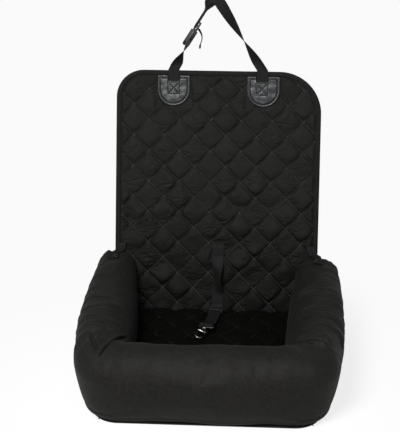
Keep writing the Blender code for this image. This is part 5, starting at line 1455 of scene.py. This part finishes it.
def stitchPatches():
    radius, size, level = patch["width"] / 2, patch["box"], seams["boxHeight"]
    low, top = patch["top"] - patch["height"] + radius, patch["top"] - 0.003
    lines = []
    for _, centreX, webX in patchPlaces:
        for inset, height in seams["patchRows"]:
            reach = radius - inset
            turns = np.linspace(0, -math.pi, 40)
            bow = [(centreX + reach * math.cos(a), low + reach * math.sin(a)) for a in turns]
            path = [(centreX + reach, top), *bow, (centreX - reach, top)]
            lines.append([(x, s, height) for x, s in path])
        around = [(-1, -1), (1, -1), (1, 1), (-1, 1), (-1, -1), (1, 1)]  # the square and its first diagonal
        for corners in (around, [(-1, 1), (1, -1)]):
            lines.append([(webX + a * size, boxS + b * size, level) for a, b in corners])
    sizes = {"Pitch": 0.0031, "Length": 0.0026, "Width": 0.0007, "Material": darkThread}
    piece = beads("patchStitches", lines, panelFrame, **sizes)
    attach(piece, "back_panel")


def dotUnderside():
    pitch, bottom = underside["dotPitch"], underside["bottom"]
    across, rows = np.arange(*underside["dotsAcross"], 0.003), np.arange(*underside["dotsAlong"], pitch)
    lines = [[(x, y, bottom) for x in across] for y in rows]
    sizes = {"Pitch": pitch, "Length": 0.0042, "Width": 0.0040, "Height": 0.0008, "Material": gripCloth}
    piece = beads("gripDots", lines, **sizes)
    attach(piece, "bed")


def dress(node, name, material, width, slot):  # a rigid part: the CAD part's own shape, its edges softened
    source = frame["nodes"][node]
    mesh = source.data.copy()
    mesh.name = name
    piece = bpy.data.objects.new(name, mesh)
    bpy.context.scene.collection.objects.link(piece)
    shape = bmesh.new()
    shape.from_mesh(mesh)
    bmesh.ops.remove_doubles(shape, verts=shape.verts, dist=1e-6)
    bmesh.ops.dissolve_limit(shape, angle_limit=math.radians(1), verts=shape.verts, edges=shape.edges)
    shape.to_mesh(mesh)
    shape.free()
    mesh.materials.clear()
    mesh.materials.append(material)
    mesh.shade_smooth()
    mesh.set_sharp_from_angle(angle=math.radians(40))
    if width:
        step = piece.modifiers.new("edges", "BEVEL")
        step.width = width
        step.segments = 2
        step.limit_method = "ANGLE"
        step.angle_limit = math.radians(40)
        step.harden_normals = True
        plainMesh(piece)
    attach(piece, source["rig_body"])
    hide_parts(node)
    return piece


makePanel()
print("panel made")
makeBinding()
makeCushion()
print("cushion made")
makeBolster()
print("bolster made")
makeTies()
makeStrap()
makeTether()
makePatches()
makeUnderside()
print("webbing, patches and underside made")
stitching = stitchTree()
stitchPanel()
stitchSeat()
stitchBinding()
stitchPatches()
dotUnderside()
print("stitches made")

rigid = (
    ("buckle_socket", "buckleSocket", blackPlastic, 0.0003, "black_plastic"),
    ("buckle_plug", "bucklePlug", blackPlastic, 0.0002, "black_plastic"),
    ("prong_left", "leftProng", blackPlastic, 0.0002, "black_plastic"),
    ("prong_right", "rightProng", blackPlastic, 0.0002, "black_plastic"),
    ("tether_slider", "tetherSlider", blackPlastic, 0.0003, "black_plastic"),
    ("hook_body", "snapHook", nickel, 0.0, "nickel"),
    ("hook_gate", "hookGate", nickel, 0.0, "nickel"),
    ("swivel_eye", "swivelEye", nickel, 0.0, "nickel"),
    ("left_stud", "leftStud", blackNickel, 0.0, "nickel"),
    ("right_stud", "rightStud", blackNickel, 0.0, "nickel"),
)
for row in rigid:
    dress(*row)
for node in ("base_board", "upper_panel_board", "lower_panel_board"):
    for slot in frame["nodes"][node].material_slots:
        slot.material = fibreBoard
print("buckle, slider and hook made")


def makeCamera():
    data = bpy.data.cameras.new("camera")
    data.sensor_fit = "HORIZONTAL"
    data.sensor_width = view["sensor"]
    data.lens = view["lens"]
    camera = bpy.data.objects.new("camera", data)
    bpy.context.scene.collection.objects.link(camera)
    ahead = (view["target"] - view["place"]).normalized()
    right = ahead.cross(Vector((0, 0, 1))).normalized()
    up = right.cross(ahead)
    side = right * math.cos(view["roll"]) + up * math.sin(view["roll"])
    above = up * math.cos(view["roll"]) - right * math.sin(view["roll"])
    columns = (*zip(side, above, -ahead, view["place"]), (0, 0, 0, 1))
    camera.matrix_world = Matrix(columns)
    bpy.context.scene.camera = camera


lamps = {
    "key": {"place": (-0.75, -1.85, 2.25), "target": (0, 0, 0.25), "size": 1.2, "power": 74},
    "above": {"place": (0.3, -0.3, 2.6), "target": (0, 0, 0.1), "size": 1.6, "power": 3},
    "right": {"place": (2.2, -1.2, 1.2), "target": (0, 0, 0.2), "size": 1.4, "power": 8},
}
studio = {  # the floor is lit out to its near reach, and plain from its far reach
    "room": 0.09, "gloss": 0.33, "near": 0.32, "far": 0.60, "glow": 0.80,
    "lit": (0.8, 0.8, 0.8), "seen": (0.26, 0.26, 0.26), "plain": (0.955, 0.955, 0.955, 1),
}


def makeLight():
    for name, lamp in lamps.items():
        data = bpy.data.lights.new(name, "AREA")
        data.shape = "DISK"
        data.size = lamp["size"]
        data.energy = lamp["power"]
        light = bpy.data.objects.new(name, data)
        light.location = lamp["place"]
        away = Vector(lamp["place"]) - Vector(lamp["target"])
        light.rotation_euler = away.to_track_quat("Z", "Y").to_euler()
        bpy.context.scene.collection.objects.link(light)
    world = bpy.data.worlds.new("studio")
    bpy.context.scene.world = world
    world.use_nodes = True
    graph = Graph(world.node_tree)
    ray = graph.node("ShaderNodeLightPath", None, None, "Is Camera Ray")
    level = ray.out("Is Glossy Ray") * studio["gloss"] + studio["room"]
    soft = graph.node("ShaderNodeBackground", None, {"Color": (1, 1, 1, 1), "Strength": level})
    white = graph.node("ShaderNodeBackground", None, {"Color": (1, 1, 1, 1), "Strength": 1.0})
    mixed = graph.node("ShaderNodeMixShader", None, {0: ray, 1: soft, 2: white})
    graph.node("ShaderNodeOutputWorld", None, {"Surface": mixed})


def makeFloor():
    shape = bmesh.new()
    bmesh.ops.create_grid(shape, x_segments=2, y_segments=2, size=9)
    bmesh.ops.translate(shape, verts=shape.verts, vec=(0, 3, -0.0002))
    material = bpy.data.materials.new("paleFloor")
    material.use_nodes = True
    graph = Graph(material.node_tree)
    place = graph.place()
    near = graph.node("ShaderNodeVectorMath", {"operation": "LENGTH"}, {0: place}, "Value")
    far = graph.spread(near, studio["near"], studio["far"])
    ray = graph.node("ShaderNodeLightPath", None, None, "Is Camera Ray")
    matt = graph.node("ShaderNodeBsdfDiffuse", None, {"Color": graph.mix(ray, studio["lit"], studio["seen"])})
    glow = graph.node("ShaderNodeEmission", None, {"Color": (1, 1, 1, 1), "Strength": ray * studio["glow"]})
    seen = graph.node("ShaderNodeAddShader", None, {0: matt, 1: glow})
    white = graph.node("ShaderNodeEmission", None, {"Color": studio["plain"], "Strength": 1.0})
    mixed = graph.node("ShaderNodeMixShader", None, {0: ray * far, 1: seen, 2: white})
    graph.node("ShaderNodeOutputMaterial", None, {"Surface": mixed})
    floor = meshPiece("floor", shape, material)


makeCamera()
makeLight()
makeFloor()
bpy.context.scene.view_settings.view_transform = "Standard"
print("camera, light and floor made")
